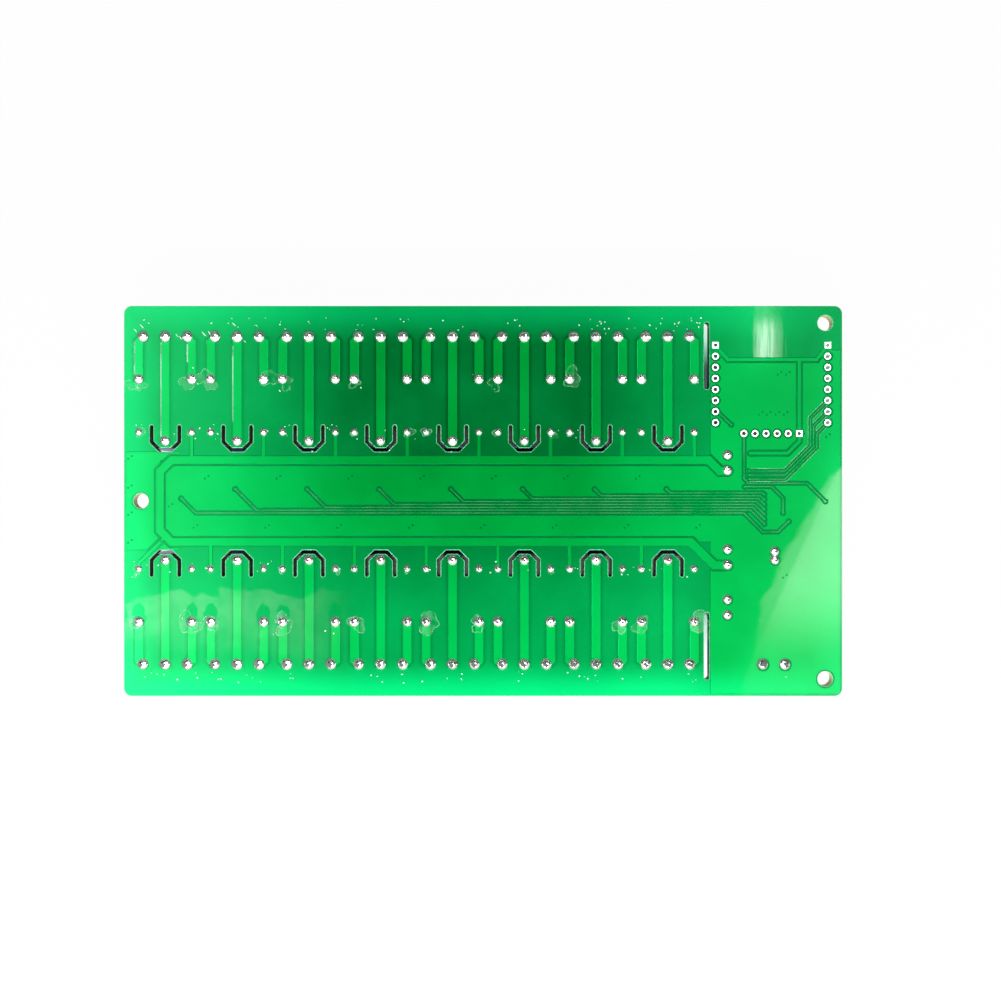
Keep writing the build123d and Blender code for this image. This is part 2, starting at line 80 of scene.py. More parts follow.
TRACK_WIDTH = 2.1
TRACK_OVERRUN = 0.3             # track past the middle of the terminal's pin
RAIL_WIDTH = 2.0
RAIL_CORNER = 2.6
RAIL_INSET = 8.3                # short edge to the supply loop's end
RAIL_CLEAR = 0.9                # guard slot to the rail
UPPER_RAIL_RUN = 1.8            # level end of the upper rail, to the middle of its joint
LOWER_RAIL_RUN = 3.0
BRANCH_WIDTH = 0.92
TRACE_WIDTH = 0.36
TRACE_FLANK = 0.09
THIN_EDGE = 0.1                 # pale strip where the mask is drawn thin over the foil's edge, partly a painted highlight
WIDE_TRACE_WIDTH = 0.85
FOIL_FLANK = 0.13               # the mask slopes over the foil's edge
FOIL_GAP = 0.32                 # bare laminate between two foils
POOL = 0.006                    # depth of the mask pooled in the gaps
SHADED_HALO_WIDTH = 0.9                      # width of the band of mask pooling beside a track, with painted shade
POUR_EDGE = 0.45
POUR_TOP = 11.8                 # long edge to the pour
POUR_MARGIN_RISE = 1.7          # its margin beside the outer header reaches further up
HOLE_CLEAR = 0.15               # slot or screw hole to the mask pooled over the laminate
PATCH_HALF = 11.3               # half width of the pour's patch at the far end
VIA_RADIUS = 0.34
TERMINAL_JOINT = 1.24           # radii and heights of the solder joints
CONTACT_JOINT = 1.12
COIL_JOINT = 0.78
CAPACITOR_JOINT = 1.0
JOINT_GAP = 0.2
PAD_LIFT = 0.03                 # levelled tin over the laminate
THIN_LIFT = 0.012               # what lies over the foil's mask, and over that the flux
FLUX_LIFT = 0.015
STAIN_STEP = 0.0005             # between stains that overlap
LANE_PITCH = 0.66
LANE_LOW_Y = -2.75              # lowest lane
LANE_VIA_Y = 2.75
FIRST_VIA_Y = 0.55
FIRST_VIA_SHIFT = 4.9           # supply loop's end to the first via
LANE_VIA_SHIFT = 0.4
REGISTER_VIA_INSET = 17.9       # short edge to the registers' vias
REGISTER_VIA_TOP = 1.5
REGISTER_VIA_PITCH = 1.13
DIMPLE_RADIUS = 0.34
DIMPLE_SHIFT = (0.42, 0.3)      # middle of a pair to each dimple
SHADOW_RING_SHIFT = (-0.08, 0.2)     # joint to the painted shadow ring behind it
SHADOW_RING_SPREAD = 0.08
PAD_CROWN = 0.35                # heights of what is grown over the face
PIN_END_HEIGHT = 0.5
CRUMB_HEIGHT = 0.05
CRUMBED_X = -20.0               # joints beyond it, towards the far end, have the most crumbs
SCRAPED_X = -46.0               # upper terminal joints beyond it have scrapes beside them
HOLE_SIDES = 32
PIN_HOLE_SIDES = 12

RELAY_CORNER = 0.9
RELAY_EASE = 0.5                # rounding of the case's top edge
RELAY_LEAN = 0.16               # what the draft takes off each side at the top
RELAY_COLLAR = (0.35, 0.7)      # depth and height of the recess over the seal
RELAY_VENT = (2.4, 0.6, 0.3)    # inset, radius and depth
TERMINAL_PITCH = 5.08
SHOULDER_HEIGHT = 6.7
REAR_SHOULDER = 1.1
FRONT_SHOULDER = 1.5
FOOT_HEIGHT = 1.3
FOOT_LIP = 0.5
HOUSING_EASE = 0.2
WAY_GROOVE = 0.14
WIRE_ENTRY = (3.4, 3.6, 5.2)    # width, height and depth
WIRE_ENTRY_SILL = 2.0
WIRE_ENTRY_CORNER = 0.3
SCREW_WELL = (1.95, 3.4)        # radius and depth
SCREW_RADIUS = 1.75
SCREW_HEAD = 1.7
SCREW_SLOT = (0.5, 0.7)         # width and depth
CLAMP_INSET = 0.7               # front of the housing to the clamp
CLAMP_DEPTH = 4.0
CAN_SIDES = 48
PACKAGE_SLOPE = 0.14            # of a moulded side, over half the package's height
PACKAGE_GAP = 0.1               # board to the package
PACKAGE_SEAM = 0.06             # height of the parting line's flash
LEAD_THICKNESS = 0.22           # in widths of the lead
LEAD_OFFSET = 0.3               # package to the lead's riser
CASTELLATION_PITCH = 2.0
CASTELLATION_RADIUS = 0.42
CASTELLATION_EDGE = 7.6         # module's aerial end to the first half hole
AERIAL_TURNS = 5
AERIAL_WIDTH = 0.5
AERIAL_DEPTH = 3.0
CHOKE_CORNER = 3.0

# ---- Places, from the frame ----


def span(node):
    """Lowest and highest corner of a CAD node."""
    low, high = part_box(node)
    return low / MM, high / MM


def middle(node):
    low, high = span(node)
    return (low + high) / 2


def solids(node):
    """Middle and size of each separate solid in a CAD node, row by row."""
    mesh = bmesh.new()
    mesh.from_mesh(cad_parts[node].data)
    bmesh.ops.remove_doubles(mesh, verts=mesh.verts, dist=0.001 * MM)
    left = set(mesh.verts)
    found = []
    while left:
        group = [left.pop()]
        for vert in group:
            for edge in vert.link_edges:
                other = edge.other_vert(vert)
                if other in left:
                    left.remove(other)
                    group.append(other)
        corners = [vert.co / MM for vert in group]
        low = Vector([min(corner[axis] for corner in corners) for axis in range(3)])
        high = Vector([max(corner[axis] for corner in corners) for axis in range(3)])
        found.append(((low + high) / 2, high - low))
    mesh.free()
    return sorted(found, key=lambda item: (round(item[0].y, 1), round(item[0].x, 1)))


board_low, board_high = span("circuit_board")
UNDERSIDE, FACE = board_low.z, board_high.z
half_length, half_width = board_high.x, board_high.y
FOIL = span("contact_tracks")[1].z - FACE
CHANNELS = range(1, 17)
channel_x = {number: middle(f"relay_{number:02d}").x for number in CHANNELS}
channel_turn = {number: 1 if middle(f"relay_{number:02d}").y > 0 else -1 for number in CHANNELS}

contact_pins = solids("relay_contact_pins")
coil_pins = solids("relay_coil_pins")
terminal_pins = solids("terminal_pins")
capacitor_leads = solids("capacitor_leads")
relay_half = (span("relay_01")[1].x - span("relay_01")[0].x) / 2


def first_channel(pins):
    """Places of the first channel's pins, across from its middle and up from the board's."""
    x = channel_x[1]
    return sorted({(round(pin.x - x, 2), round(pin.y, 2)) for pin, _ in pins
                   if abs(pin.x - x) < relay_half and pin.y > 0})


common_y = min(y for _, y in first_channel(contact_pins))
contact_y = max(y for _, y in first_channel(contact_pins))
contact_x = max(x for x, _ in first_channel(contact_pins))
coil_y = first_channel(coil_pins)[0][1]
terminal_y = first_channel(terminal_pins)[0][1]
terminal_x = max(x for x, _ in first_channel(terminal_pins))

rail_x = -half_length + RAIL_INSET
last_relay_x = span("relay_08")[1].x
bay_slot_x = last_relay_x + BAY_SLOT_CLEAR + BAY_SLOT_WIDTH / 2
guard_back_y = common_y - GUARD_SLOT_BACK
rail_y = guard_back_y - GUARD_SLOT_WIDTH / 2 - RAIL_CLEAR - RAIL_WIDTH / 2
wifi = middle("wifi_module_board")
header_top_y = half_width - HEADER_EDGE
header_x = (wifi.x - HEADER_HALF_SPAN, wifi.x + HEADER_HALF_SPAN)
header_y = [header_top_y - pin * HEADER_PITCH for pin in range(SIDE_PINS)]
serial_y = header_y[-1] - SERIAL_DROP
serial_x = [wifi.x + (pin - (SERIAL_PINS - 1) / 2) * HEADER_PITCH for pin in range(SERIAL_PINS)]
header_holes = [(x, y) for x in header_x for y in header_y] + [(x, serial_y) for x in serial_x]
square_pads = [(header_x[0], header_y[0]), (header_x[1], header_y[0]), (serial_x[-1], serial_y)]
screw_x = half_length - SCREW_HOLE_INSET
screw_y = half_width - SCREW_HOLE_INSET
screw_holes = [(screw_x, screw_y), (screw_x, -screw_y), (-screw_x, 0)]


def on_channel(number, points):
    """Points of one channel, whose own +Y points to its long edge, in the board's frame."""
    turn = channel_turn[number]
    return [(channel_x[number] + turn * x, turn * y) for x, y in points]


# ---- Plane outlines ----


def area(outline):
    """Twice the signed area, which is positive where the outline runs anticlockwise."""
    pairs = zip(outline, [*outline[1:], outline[0]])
    return sum(a[0] * b[1] - b[0] * a[1] for a, b in pairs)


def disc(x, y, radius, sides=24):
    return [(x + radius * cos(2 * pi * side / sides), y + radius * sin(2 * pi * side / sides))
            for side in range(sides)]


def discs(places, radius, sides):
    return [disc(x, y, radius, sides) for x, y in places]


def block(low_x, low_y, high_x, high_y):
    return [(low_x, low_y), (high_x, low_y), (high_x, high_y), (low_x, high_y)]


def square(x, y, side):
    return block(x - side / 2, y - side / 2, x + side / 2, y + side / 2)


def rounded_block(half_x, half_y, radius, steps=8):
    """Rectangle about the origin with arcs for corners."""
    outline = []
    for quarter, (side_x, side_y) in enumerate([(1, 1), (-1, 1), (-1, -1), (1, -1)]):
        for step in range(steps + 1):
            angle = (quarter + step / steps) * pi / 2
            outline.append((side_x * (half_x - radius) + radius * cos(angle),
                            side_y * (half_y - radius) + radius * sin(angle)))
    return outline


def eased(outline, radius, steps=4):
    """The outline with an arc for each of its corners."""
    points = [Vector(point) for point in outline]
    arcs = []
    for before, corner, after in zip(points[-1:] + points[:-1], points, points[1:] + points[:1]):
        back = (before - corner).normalized()
        onward = (after - corner).normalized()
        half = back.angle(onward) / 2
        centre = corner + (back + onward).normalized() * (radius / sin(half))
        spoke = corner + back * (radius / tan(half)) - centre
        sweep = (pi - 2 * half) * (1 if onward.cross(back) > 0 else -1)
        arcs += [centre + Matrix.Rotation(sweep * step / steps, 2) @ spoke for step in range(steps + 1)]
    return arcs


def stroke(path, width, round_ends=False, steps=6):
    """Outline of an even stroke along a path, with mitred corners and square or round ends."""
    points = [Vector(point) for point in path]
    runs = [(end - start).normalized() for start, end in zip(points, points[1:])]
    left, right = [], []
    for index, point in enumerate(points):
        before = runs[max(index - 1, 0)]
        after = runs[min(index, len(runs) - 1)]
        side = Vector((-before.y, before.x))
        mitre = (side + Vector((-after.y, after.x))).normalized()
        reach = width / 2 / mitre.dot(side)
        left.append(point + mitre * reach)
        right.append(point - mitre * reach)
    if not round_ends:
        return [tuple(point) for point in right + left[::-1]]
    caps = []
    for end, run in ((points[-1], runs[-1]), (points[0], -runs[0])):
        start = atan2(run.y, run.x) - pi / 2
        caps.append([end + Vector((cos(start + pi * step / steps), sin(start + pi * step / steps)))
                     * width / 2 for step in range(steps + 1)])
    return [tuple(point) for point in right[1:-1] + caps[0] + left[-2:0:-1] + caps[1]]


def strokes(paths, width):
    """Round-ended strokes along several paths."""
    return [stroke(path, width, round_ends=True) for path in paths]


def cut_plane(outlines):
    """Triangles over all the outlines. Each comes with a set of bits, one for each outline that it
    lies in, which is found by stepping from triangle to triangle and noting what edges are crossed."""
    points, edges, bits = [], [], []
    for number, outline in enumerate(outlines):
        start, count = len(points), len(outline)
        points += [Vector(point) for point in outline]
        edges += [(start + side, start + (side + 1) % count) for side in range(count)]
        bits += [1 << number] * count
    corners, sides, triangles, _, origins, _ = delaunay_2d_cdt(points, edges, [], 0, 1e-5)
    crossed = {}
    for side, origin in zip(sides, origins):
        for index in origin:
            crossed[frozenset(side)] = crossed.get(frozenset(side), 0) ^ bits[index]
    beside = {}
    for index, triangle in enumerate(triangles):
        for pair in zip(triangle, [*triangle[1:], triangle[0]]):
            beside.setdefault(frozenset(pair), []).append(index)
    inside = {}
    queue = [(found[0], crossed.get(pair, 0)) for pair, found in beside.items() if len(found) == 1]
    for index, held in queue:
        if index not in inside:
            inside[index] = held
            triangle = triangles[index]
            for pair in zip(triangle, [*triangle[1:], triangle[0]]):
                across = held ^ crossed.get(frozenset(pair), 0)
                queue += [(other, across) for other in beside[frozenset(pair)] if other not in inside]
    return corners, triangles, [inside[index] for index in range(len(triangles))]


def region(add, cut=()):
    """Loops round what the add outlines cover and the cut ones leave, which lies to their left."""
    corners, triangles, held = cut_plane([*add, *cut])
    ahead = {}
    for triangle, bits in zip(triangles, held):
        if bits and bits < 1 << len(add):
            for start, end in zip(triangle, [*triangle[1:], triangle[0]]):
                if start in ahead.get(end, ()):
                    ahead[end].discard(start)
                else:
                    ahead.setdefault(start, set()).add(end)
    loops = []
    for start in list(ahead):
        while ahead[start]:
            loop = [start]
            while ahead[loop[-1]]:
                loop.append(ahead[loop[-1]].pop())
                if loop[-1] == start:
                    break
            loops.append(plain([corners[index] for index in loop[:-1]]))
    return [loop for loop in loops if len(loop) > 2]


def plain(loop, straight=1e-3):
    """The loop without the points that lie on a straight run."""
    kept = []
    for before, point, after in zip(loop[-1:] + loop[:-1], loop, loop[1:] + loop[:1]):
        first = point - before
        second = after - point
        if first.length > 1e-5 and abs(first.cross(second)) > straight * first.length * second.length:
            kept.append(point)
    return kept


def inset(loop, distance):
    """The loop moved to its left by a distance, with mitred corners."""
    moved = []
    for before, point, after in zip(loop[-1:] + loop[:-1], loop, loop[1:] + loop[:1]):
        first = (point - before).normalized()
        second = (after - point).normalized()
        sides = Vector((-first.y - second.y, first.x + second.x))
        moved.append(point + sides * (distance / max(1 + first.dot(second), 0.3)))
    return moved


# ---- Meshes ----


class Shell:
    """Faces gathered for one mesh, each with the number of its finish."""

    def __init__(self):
        self.points = []
        self.faces = []
        self.finishes = []
        self.pool = []

    def add(self, points, faces, finish=0, pool=None):
        start = len(self.points)
        self.points += [Vector(point) for point in points]
        self.pool += pool or [0.0] * len(points)
        self.faces += [[start + index for index in face] for face in faces]
        self.finishes += [finish] * len(faces)

    def join(self, other, place):
        """Adds another shell, turned and moved to its place."""
        start = len(self.points)
        self.points += [place @ point for point in other.points]
        self.pool += other.pool
        self.faces += [[start + index for index in face] for face in other.faces]
        self.finishes += other.finishes

    def sheet(self, loops, z, finish=0, up=True):
        """Level face inside the loops, with a hole for each loop inside another."""
        corners, triangles, held = cut_plane(loops)
        inside = [triangle if up else triangle[::-1] for triangle, bits in zip(triangles, held)
                  if bits.bit_count() % 2]
        self.add([(x, y, z) for x, y in corners], inside, finish)

    def wall(self, low_loop, low_z, high_loop, high_z, finish=0, pool=None, skip=()):
        """Band from one loop up to another with as many points, without the skipped sides; it faces
        away from their left."""
        count = len(low_loop)
        points = [(x, y, low_z) for x, y in low_loop] + [(x, y, high_z) for x, y in high_loop]
        faces = [[index, (index + 1) % count, count + (index + 1) % count, count + index]
                 for index in range(count) if index not in skip]
        self.add(points, faces, finish, pool)

    def shaded_halo(self, loops, finish=0):
        """Mask that pools beside the foil, with painted shade: it darkens towards the foil and hides its
        outer edge.
        """
        for loop in loops:
            outer = inset(loop, -SHADED_HALO_WIDTH)
            self.wall(outer, FACE + POOL, loop, FACE + 2 * POOL, finish,
                      pool=[0.0] * len(loop) + [1.0] * len(loop))

    def pocketed(self, outline, pockets, z, depth, finish=0):
        """Level face with blind pockets."""
        loops = region([outline], pockets)
        self.sheet(loops, z, finish)
        for loop in loops:
            if area(loop) < 0:
                self.wall(loop, z - depth, loop, z, finish)
                self.sheet([loop], z - depth, finish)

    def stack(self, outline, levels, finish=0, pockets=(), depth=0.0):
        """Closed body from levels of (inset of the outline, height), with pockets in its top."""
        rings = [inset([Vector(point) for point in outline], distance) for distance, _ in levels]
        heights = [height for _, height in levels]
        for low, high, low_z, high_z in zip(rings, rings[1:], heights, heights[1:]):
            self.wall(low, low_z, high, high_z, finish)
        self.sheet([rings[0]], heights[0], finish, up=False)
        self.pocketed(rings[-1], pockets, heights[-1], depth, finish)

    def turned(self, profile, finishes, sides=CAN_SIDES, stripe=None):
        """Body turned about the vertical through (radius, height) points, closed at both ends. Each
        run has its finish; a stripe is (run, first side, last side, finish)."""
        rings = [disc(0, 0, radius, sides) for radius, _ in profile]
        for run, ((_, low_z), (_, high_z)) in enumerate(zip(profile, profile[1:])):
            start = len(self.finishes)
            self.wall(rings[run], low_z, rings[run + 1], high_z, finishes[run])
            if stripe and stripe[0] == run:
                for side in range(*stripe[1:3]):
                    self.finishes[start + side] = stripe[3]
        self.sheet([rings[0]], profile[0][1], finishes[0], up=False)
        self.sheet([rings[-1]], profile[-1][1], finishes[-1])

    def prism(self, loops, low_z, high_z, finish=0):
        self.sheet(loops, low_z, finish, up=False)
        self.sheet(loops, high_z, finish)
        for loop in loops:
            self.wall(loop, low_z, loop, high_z, finish)

    def relief(self, loops, height, flank, finish=0, flank_finish=0, z=FACE):
        """Low form on a level face at z, such as foil under its mask: a level top, and edges that
        slope down to the face."""
        for loop in loops:
            self.wall(loop, z, inset(loop, flank), z + height, flank_finish)
        self.sheet([inset(loop, flank) for loop in loops], z + height, finish)

    def moved(self, place):
        """A copy of the shell, turned and moved to its place."""
        copy = Shell()
        copy.join(self, place)
        return copy

    def piece(self, name, materials, crease=0):
        """The finished object, at the origin and in metres, with its double points joined. Edges
        that turn by less than the crease, in degrees, are shaded smooth."""
        mesh = bpy.data.meshes.new(name)
        mesh.from_pydata([point * MM for point in self.points], [], self.faces)
        mesh.polygons.foreach_set("material_index", self.finishes)
        for material in materials:
            mesh.materials.append(material)
        shade = mesh.attributes.new("pool", "FLOAT", "POINT")
        shade.data.foreach_set("value", self.pool)
        tidy = bmesh.new()
        tidy.from_mesh(mesh)
        bmesh.ops.remove_doubles(tidy, verts=tidy.verts, dist=0.0005 * MM)
        tidy.to_mesh(mesh)
        tidy.free()
        if crease:
            mesh.shade_smooth()
            mesh.set_sharp_from_angle(angle=radians(crease))
        return placed(name, mesh)

    def dress(self, name, materials, slot, *nodes, crease=0):
        """Makes the piece, which stands for the nodes; its slot is passed on, and not used."""
        finish_piece(self.piece(name, materials, crease), slot, *nodes)


def placed(name, mesh):
    piece = bpy.data.objects.new(name, mesh)
    bpy.context.scene.collection.objects.link(piece)
    return piece


def finish_piece(piece, slot, *nodes):
    """Rides on the one body and stands for the named nodes, which it hides. Its slot is not used."""
    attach(piece, "root")
    if nodes:
        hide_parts(*nodes)


# ---- Node trees ----

# A Mix node blends the colours in its sockets 6 and 7 by the share in socket 0, into output 2.

SMOOTH = {"interpolation_type": "SMOOTHSTEP"}


def fill(tree, node, sockets):
    """Gives each socket of a node a value, or another node's output."""
    for key, value in sockets.items():
        if isinstance(value, bpy.types.Node):
            value = value.outputs[0]
        if isinstance(value, bpy.types.NodeSocket):
            tree.links.new(value, node.inputs[key])
        else:
            node.inputs[key].default_value = value


def add(tree, kind, sockets=(), stops=(), **settings):
    """One node with its settings, its sockets, given in order or by name or number, and a ramp's
    (place, colour) stops."""
    node = tree.nodes.new(kind)
    for name, value in settings.items():
        setattr(node, name, value)
    for index, (place, colour) in enumerate(stops):
        elements = node.color_ramp.elements
        element = elements[index] if index < 2 else elements.new(place)
        element.position = place
        element.color = linear(colour)
    fill(tree, node, sockets if isinstance(sockets, dict) else dict(enumerate(sockets)))
    return node


def linear(text):
    """An sRGB hex colour as linear RGBA."""
    channels = [int(text[start:start + 2], 16) / 255 for start in (1, 3, 5)]
    return (*[c / 12.92 if c <= 0.04045 else ((c + 0.055) / 1.055) ** 2.4 for c in channels], 1)


def new_material(name):
    """An empty material, its tree, its surface shader and its Object coordinates in millimetres."""
    material = bpy.data.materials.new(name)
    material.use_nodes = True
    tree = material.node_tree
    tree.nodes.clear()
    shader = add(tree, "ShaderNodeBsdfPrincipled")
    add(tree, "ShaderNodeOutputMaterial", {"Surface": shader})
    place = add(tree, "ShaderNodeTexCoord")
    where = add(tree, "ShaderNodeVectorMath", {0: place.outputs["Object"], "Scale": 1 / MM},
                operation="SCALE")
    return material, tree, shader, where


def clouds(tree, where, size, stops, detail=3.0):
    """Colour that wanders through its stops, in clouds about size millimetres wide."""
    cloud = add(tree, "ShaderNodeTexNoise", {"Vector": where, "Scale": 1 / size, "Detail": detail})
    return add(tree, "ShaderNodeValToRGB", (cloud,), stops)


def roughen(tree, shader, where, size, strength, depth):
    """Bumps of a width and a depth in millimetres."""
    grain = add(tree, "ShaderNodeTexNoise", {"Vector": where, "Scale": 1 / size, "Detail": 2.0})
    bump = add(tree, "ShaderNodeBump", {"Height": grain, "Strength": strength, "Distance": depth * MM})
    fill(tree, shader, {"Normal": bump})


def product(tree, first, *others):
    """All the values multiplied, by a chain of nodes."""
    for other in others:
        first = add(tree, "ShaderNodeMath", (first, other), operation="MULTIPLY")
    return first


# ---- Solder mask, and the flux left on it ----

SPARK_GRAIN = 0.35              # texture that spark erosion leaves on a mould, drawn coarse to show
SPARK_DEPTH = 0.02
MASK_IOR = 1.52
MASK_SHINE = "#08ff8a"          # the pigment tints what the thin mask mirrors
# colour of the mint glow painted into the mask near the board's edges
PAINTED_EDGE_GLOW = "#04fa8c"
# colour of the mask pooling beside the foil, darkened further as painted shade
POOLED_PAINTED_SHADE = "#003c16"
PAINTED_GLOW_REACH = 9.0                # how far in from the edge the painted glow reaches
LOW_SIDE_REACH = 16.0
BAY_END_REACH = 40.0
FILM_BEND = 0.0066              # the torn front of the film leans and bends, a parabola in Y
FILM_LEAN = 0.66
FILM_FRONT = 12.3               # wifi module's middle to the front
FILM_FRONT_SOFT = 1.7
STREAK_HALF = 3.8
STREAK_SOFT = 1.8
CLOUD_TOP = -8.4


def edge_distance(tree, where):
    """Distance in from the board's nearest edge."""
    away = add(tree, "ShaderNodeVectorMath", (where,), operation="ABSOLUTE")
    rest = add(tree, "ShaderNodeVectorMath", ((half_length, half_width, 0.0), away),
               operation="SUBTRACT")
    sides = add(tree, "ShaderNodeSeparateXYZ", (rest,))
    return add(tree, "ShaderNodeMath", (sides.outputs["X"], sides.outputs["Y"]), operation="MINIMUM")


def painted_edge_light(tree, where, parts, glow):
    """Share of the mint glow painted into the mask's colour near the board's edges: most along the
    lower side, and least at the control bay's end."""
    inward = edge_distance(tree, where)
    near = add(tree, "ShaderNodeMapRange", (inward, PAINTED_GLOW_REACH, 0.0, 0.0, glow), **SMOOTH)
    low_side = add(tree, "ShaderNodeMapRange",
                   (parts.outputs["Y"], LOW_SIDE_REACH - half_width, -half_width, 1.0, 1.6), **SMOOTH)
    bay_end = add(tree, "ShaderNodeMapRange",
                  (parts.outputs["X"], half_length - BAY_END_REACH, half_length, 1.0, 0.4), **SMOOTH)
    return product(tree, near, low_side, bay_end)


def mask_material(name, shades, glow, roughness):
    """Glossy green solder mask, screened over the board and cured: it flows, so it hides the weave,
    pools beside the foil, where painted shade darkens it, and mirrors the room softly. Near the board's
    edges a mint glow is painted into its colour."""
    material, tree, shader, where = new_material(name)
    parts = add(tree, "ShaderNodeSeparateXYZ", (where,))
    colour = clouds(tree, where, 16.0, zip((0.3, 0.5, 0.7), shades), 4.0)
    # Mint glow painted into the colour near the edges
    with_painted_glow = add(tree, "ShaderNodeMix", {0: painted_edge_light(tree, where, parts, glow), 6: colour,
                                      7: linear(PAINTED_EDGE_GLOW)}, data_type="RGBA")
    # Painted shade beside the foil, where the mask also pools
    pool = add(tree, "ShaderNodeAttribute", attribute_name="pool")
    depth = add(tree, "ShaderNodeMath", (pool.outputs["Fac"], 0.75), operation="MULTIPLY")
    pooled_shade = add(tree, "ShaderNodeMix", {0: depth, 6: with_painted_glow.outputs[2], 7: linear(POOLED_PAINTED_SHADE)},
                 data_type="RGBA")
    mottle = add(tree, "ShaderNodeTexNoise", {"Vector": where, "Scale": 1 / 2.5, "Detail": 3.0})
    gloss = add(tree, "ShaderNodeMapRange", (mottle, 0.0, 1.0, roughness * 0.8, roughness * 1.25))
    fill(tree, shader, {"Base Color": pooled_shade.outputs[2], "Roughness": gloss, "IOR": MASK_IOR,
                        "Specular Tint": linear(MASK_SHINE)})
    roughen(tree, shader, where, 1.2, 0.08, 0.05)
    flux_film(tree, where, parts, shader)
    return material


def flux_film(tree, where, parts, shader):
    """Clear film of flux, smoother than the mask: hand soldering left it at the control bay's end,
    wiping spread it to a streak behind the aerial, and washing left a cloud of it with gaps round
    the joints along the first lower channels."""
    film = bay_end_film(tree, where, parts)
    for other in (wiped_streak(tree, where, parts), washed_cloud(tree, where, parts)):
        film = add(tree, "ShaderNodeMath", (film, other), operation="MAXIMUM")
    fill(tree, shader, {"Coat Weight": film, "Coat Roughness": 0.04, "Coat IOR": 1.5})


def bay_end_film(tree, where, parts):
    """The film's torn front leans away from the board's end, and bends towards its foot."""
    bend = add(tree, "ShaderNodeMath", (parts.outputs["Y"], -FILM_BEND, -FILM_LEAN),
               operation="MULTIPLY_ADD")
    front = add(tree, "ShaderNodeMath", (bend, parts.outputs["Y"], parts.outputs["X"]),
                operation="MULTIPLY_ADD")
    waver = add(tree, "ShaderNodeTexNoise",
                {"Vector": where, "Scale": 1 / 7.0, "Detail": 6.0, "Roughness": 0.62})
    torn = add(tree, "ShaderNodeMath", (waver, 6.0, front), operation="MULTIPLY_ADD")
    start = wifi.x + FILM_FRONT
    spread = add(tree, "ShaderNodeMapRange", (torn, start, start + FILM_FRONT_SOFT, 0.0, 1.0), **SMOOTH)
    thin = add(tree, "ShaderNodeMapRange", (parts.outputs["Y"], -38.0, -16.0, 0.05, 0.6), **SMOOTH)
    return add(tree, "ShaderNodeMath", (spread, thin), operation="MULTIPLY")


def wiped_streak(tree, where, parts):
    """Streak drawn out by the cloth, with ragged sides and fine lines along it."""
    lines = add(tree, "ShaderNodeMapping", {"Vector": where, "Scale": (1.0, 0.05, 1.0)})
    brushed = add(tree, "ShaderNodeTexNoise", {"Vector": lines, "Scale": 1 / 0.5, "Detail": 2.0})
    aside = add(tree, "ShaderNodeMath", (parts.outputs["X"], wifi.x - 0.6), operation="SUBTRACT")
    across = add(tree, "ShaderNodeMath", (aside,), operation="ABSOLUTE")
    ragged = add(tree, "ShaderNodeMath", (brushed, 3.4, across), operation="MULTIPLY_ADD")
    width = add(tree, "ShaderNodeMapRange", (ragged, STREAK_HALF + STREAK_SOFT, STREAK_HALF, 0.0, 1.0),
                **SMOOTH)
    behind = add(tree, "ShaderNodeMath", (parts.outputs["Y"], half_width - POUR_TOP),
                 operation="GREATER_THAN")
    top = add(tree, "ShaderNodeMapRange",
              (parts.outputs["Y"], half_width - 1.5, half_width - 6.0, 0.15, 1.0), **SMOOTH)
    scored = add(tree, "ShaderNodeMapRange", (brushed, 0.35, 0.6, 0.55, 1.0), **SMOOTH)
    return product(tree, width, behind, top, scored)


def joint_gaps(tree, where, parts):
    """Gaps that the cloud leaves round the switched contacts' joints of every channel."""
    pitch = channel_x[2] - channel_x[1]
    shifted = add(tree, "ShaderNodeMath", (parts.outputs["X"], pitch / 2 - channel_x[1]),
                  operation="ADD")
    column = add(tree, "ShaderNodeMath", (shifted, pitch), operation="FLOORED_MODULO")
    centred = add(tree, "ShaderNodeMath", (column, pitch / 2), operation="SUBTRACT")
    aside = add(tree, "ShaderNodeMath", (centred,), operation="ABSOLUTE")
    far_x = add(tree, "ShaderNodeMath", (aside, contact_x), operation="SUBTRACT")
    far_y = add(tree, "ShaderNodeMath", (parts.outputs["Y"], 0.55, 0.55 * contact_y - 0.9),
                operation="MULTIPLY_ADD")
    apart = add(tree, "ShaderNodeCombineXYZ", (far_x, far_y))
    distance = add(tree, "ShaderNodeVectorMath", (apart,), operation="LENGTH")
    ripples = add(tree, "ShaderNodeTexNoise", {"Vector": where, "Scale": 1 / 1.6, "Detail": 2.0})
    reach = add(tree, "ShaderNodeMath", (ripples, 1.6, distance.outputs["Value"]),
                operation="MULTIPLY_ADD")
    return add(tree, "ShaderNodeMapRange", (reach, 2.2, 2.5, 0.0, 1.0), **SMOOTH)


def washed_cloud(tree, where, parts):
    """Cloud with a wandering upper edge, which thins out below and towards the middle channels."""
    waver = add(tree, "ShaderNodeTexNoise",
                {"Vector": where, "Scale": 1 / 26.0, "Detail": 4.0, "Roughness": 0.6})
    edge = add(tree, "ShaderNodeMath", (waver, 26.0, parts.outputs["Y"]), operation="MULTIPLY_ADD")
    below = add(tree, "ShaderNodeMapRange", (edge, CLOUD_TOP, CLOUD_TOP - 1.2, 0.0, 1.0), **SMOOTH)
    above = add(tree, "ShaderNodeMapRange", (edge, -25.0, -14.0, 0.0, 1.0), **SMOOTH)
    along = add(tree, "ShaderNodeMapRange", (parts.outputs["X"], -28.0, -44.0, 0.0, 1.0), **SMOOTH)
    patches = add(tree, "ShaderNodeTexNoise",
                  {"Vector": where, "Scale": 1 / 4.0, "Detail": 4.0, "Roughness": 0.6})
    uneven = add(tree, "ShaderNodeMapRange", (patches, 0.3, 0.7, 0.09, 0.2), **SMOOTH)
    return product(tree, below, above, along, joint_gaps(tree, where, parts), uneven)


# ---- Other materials ----


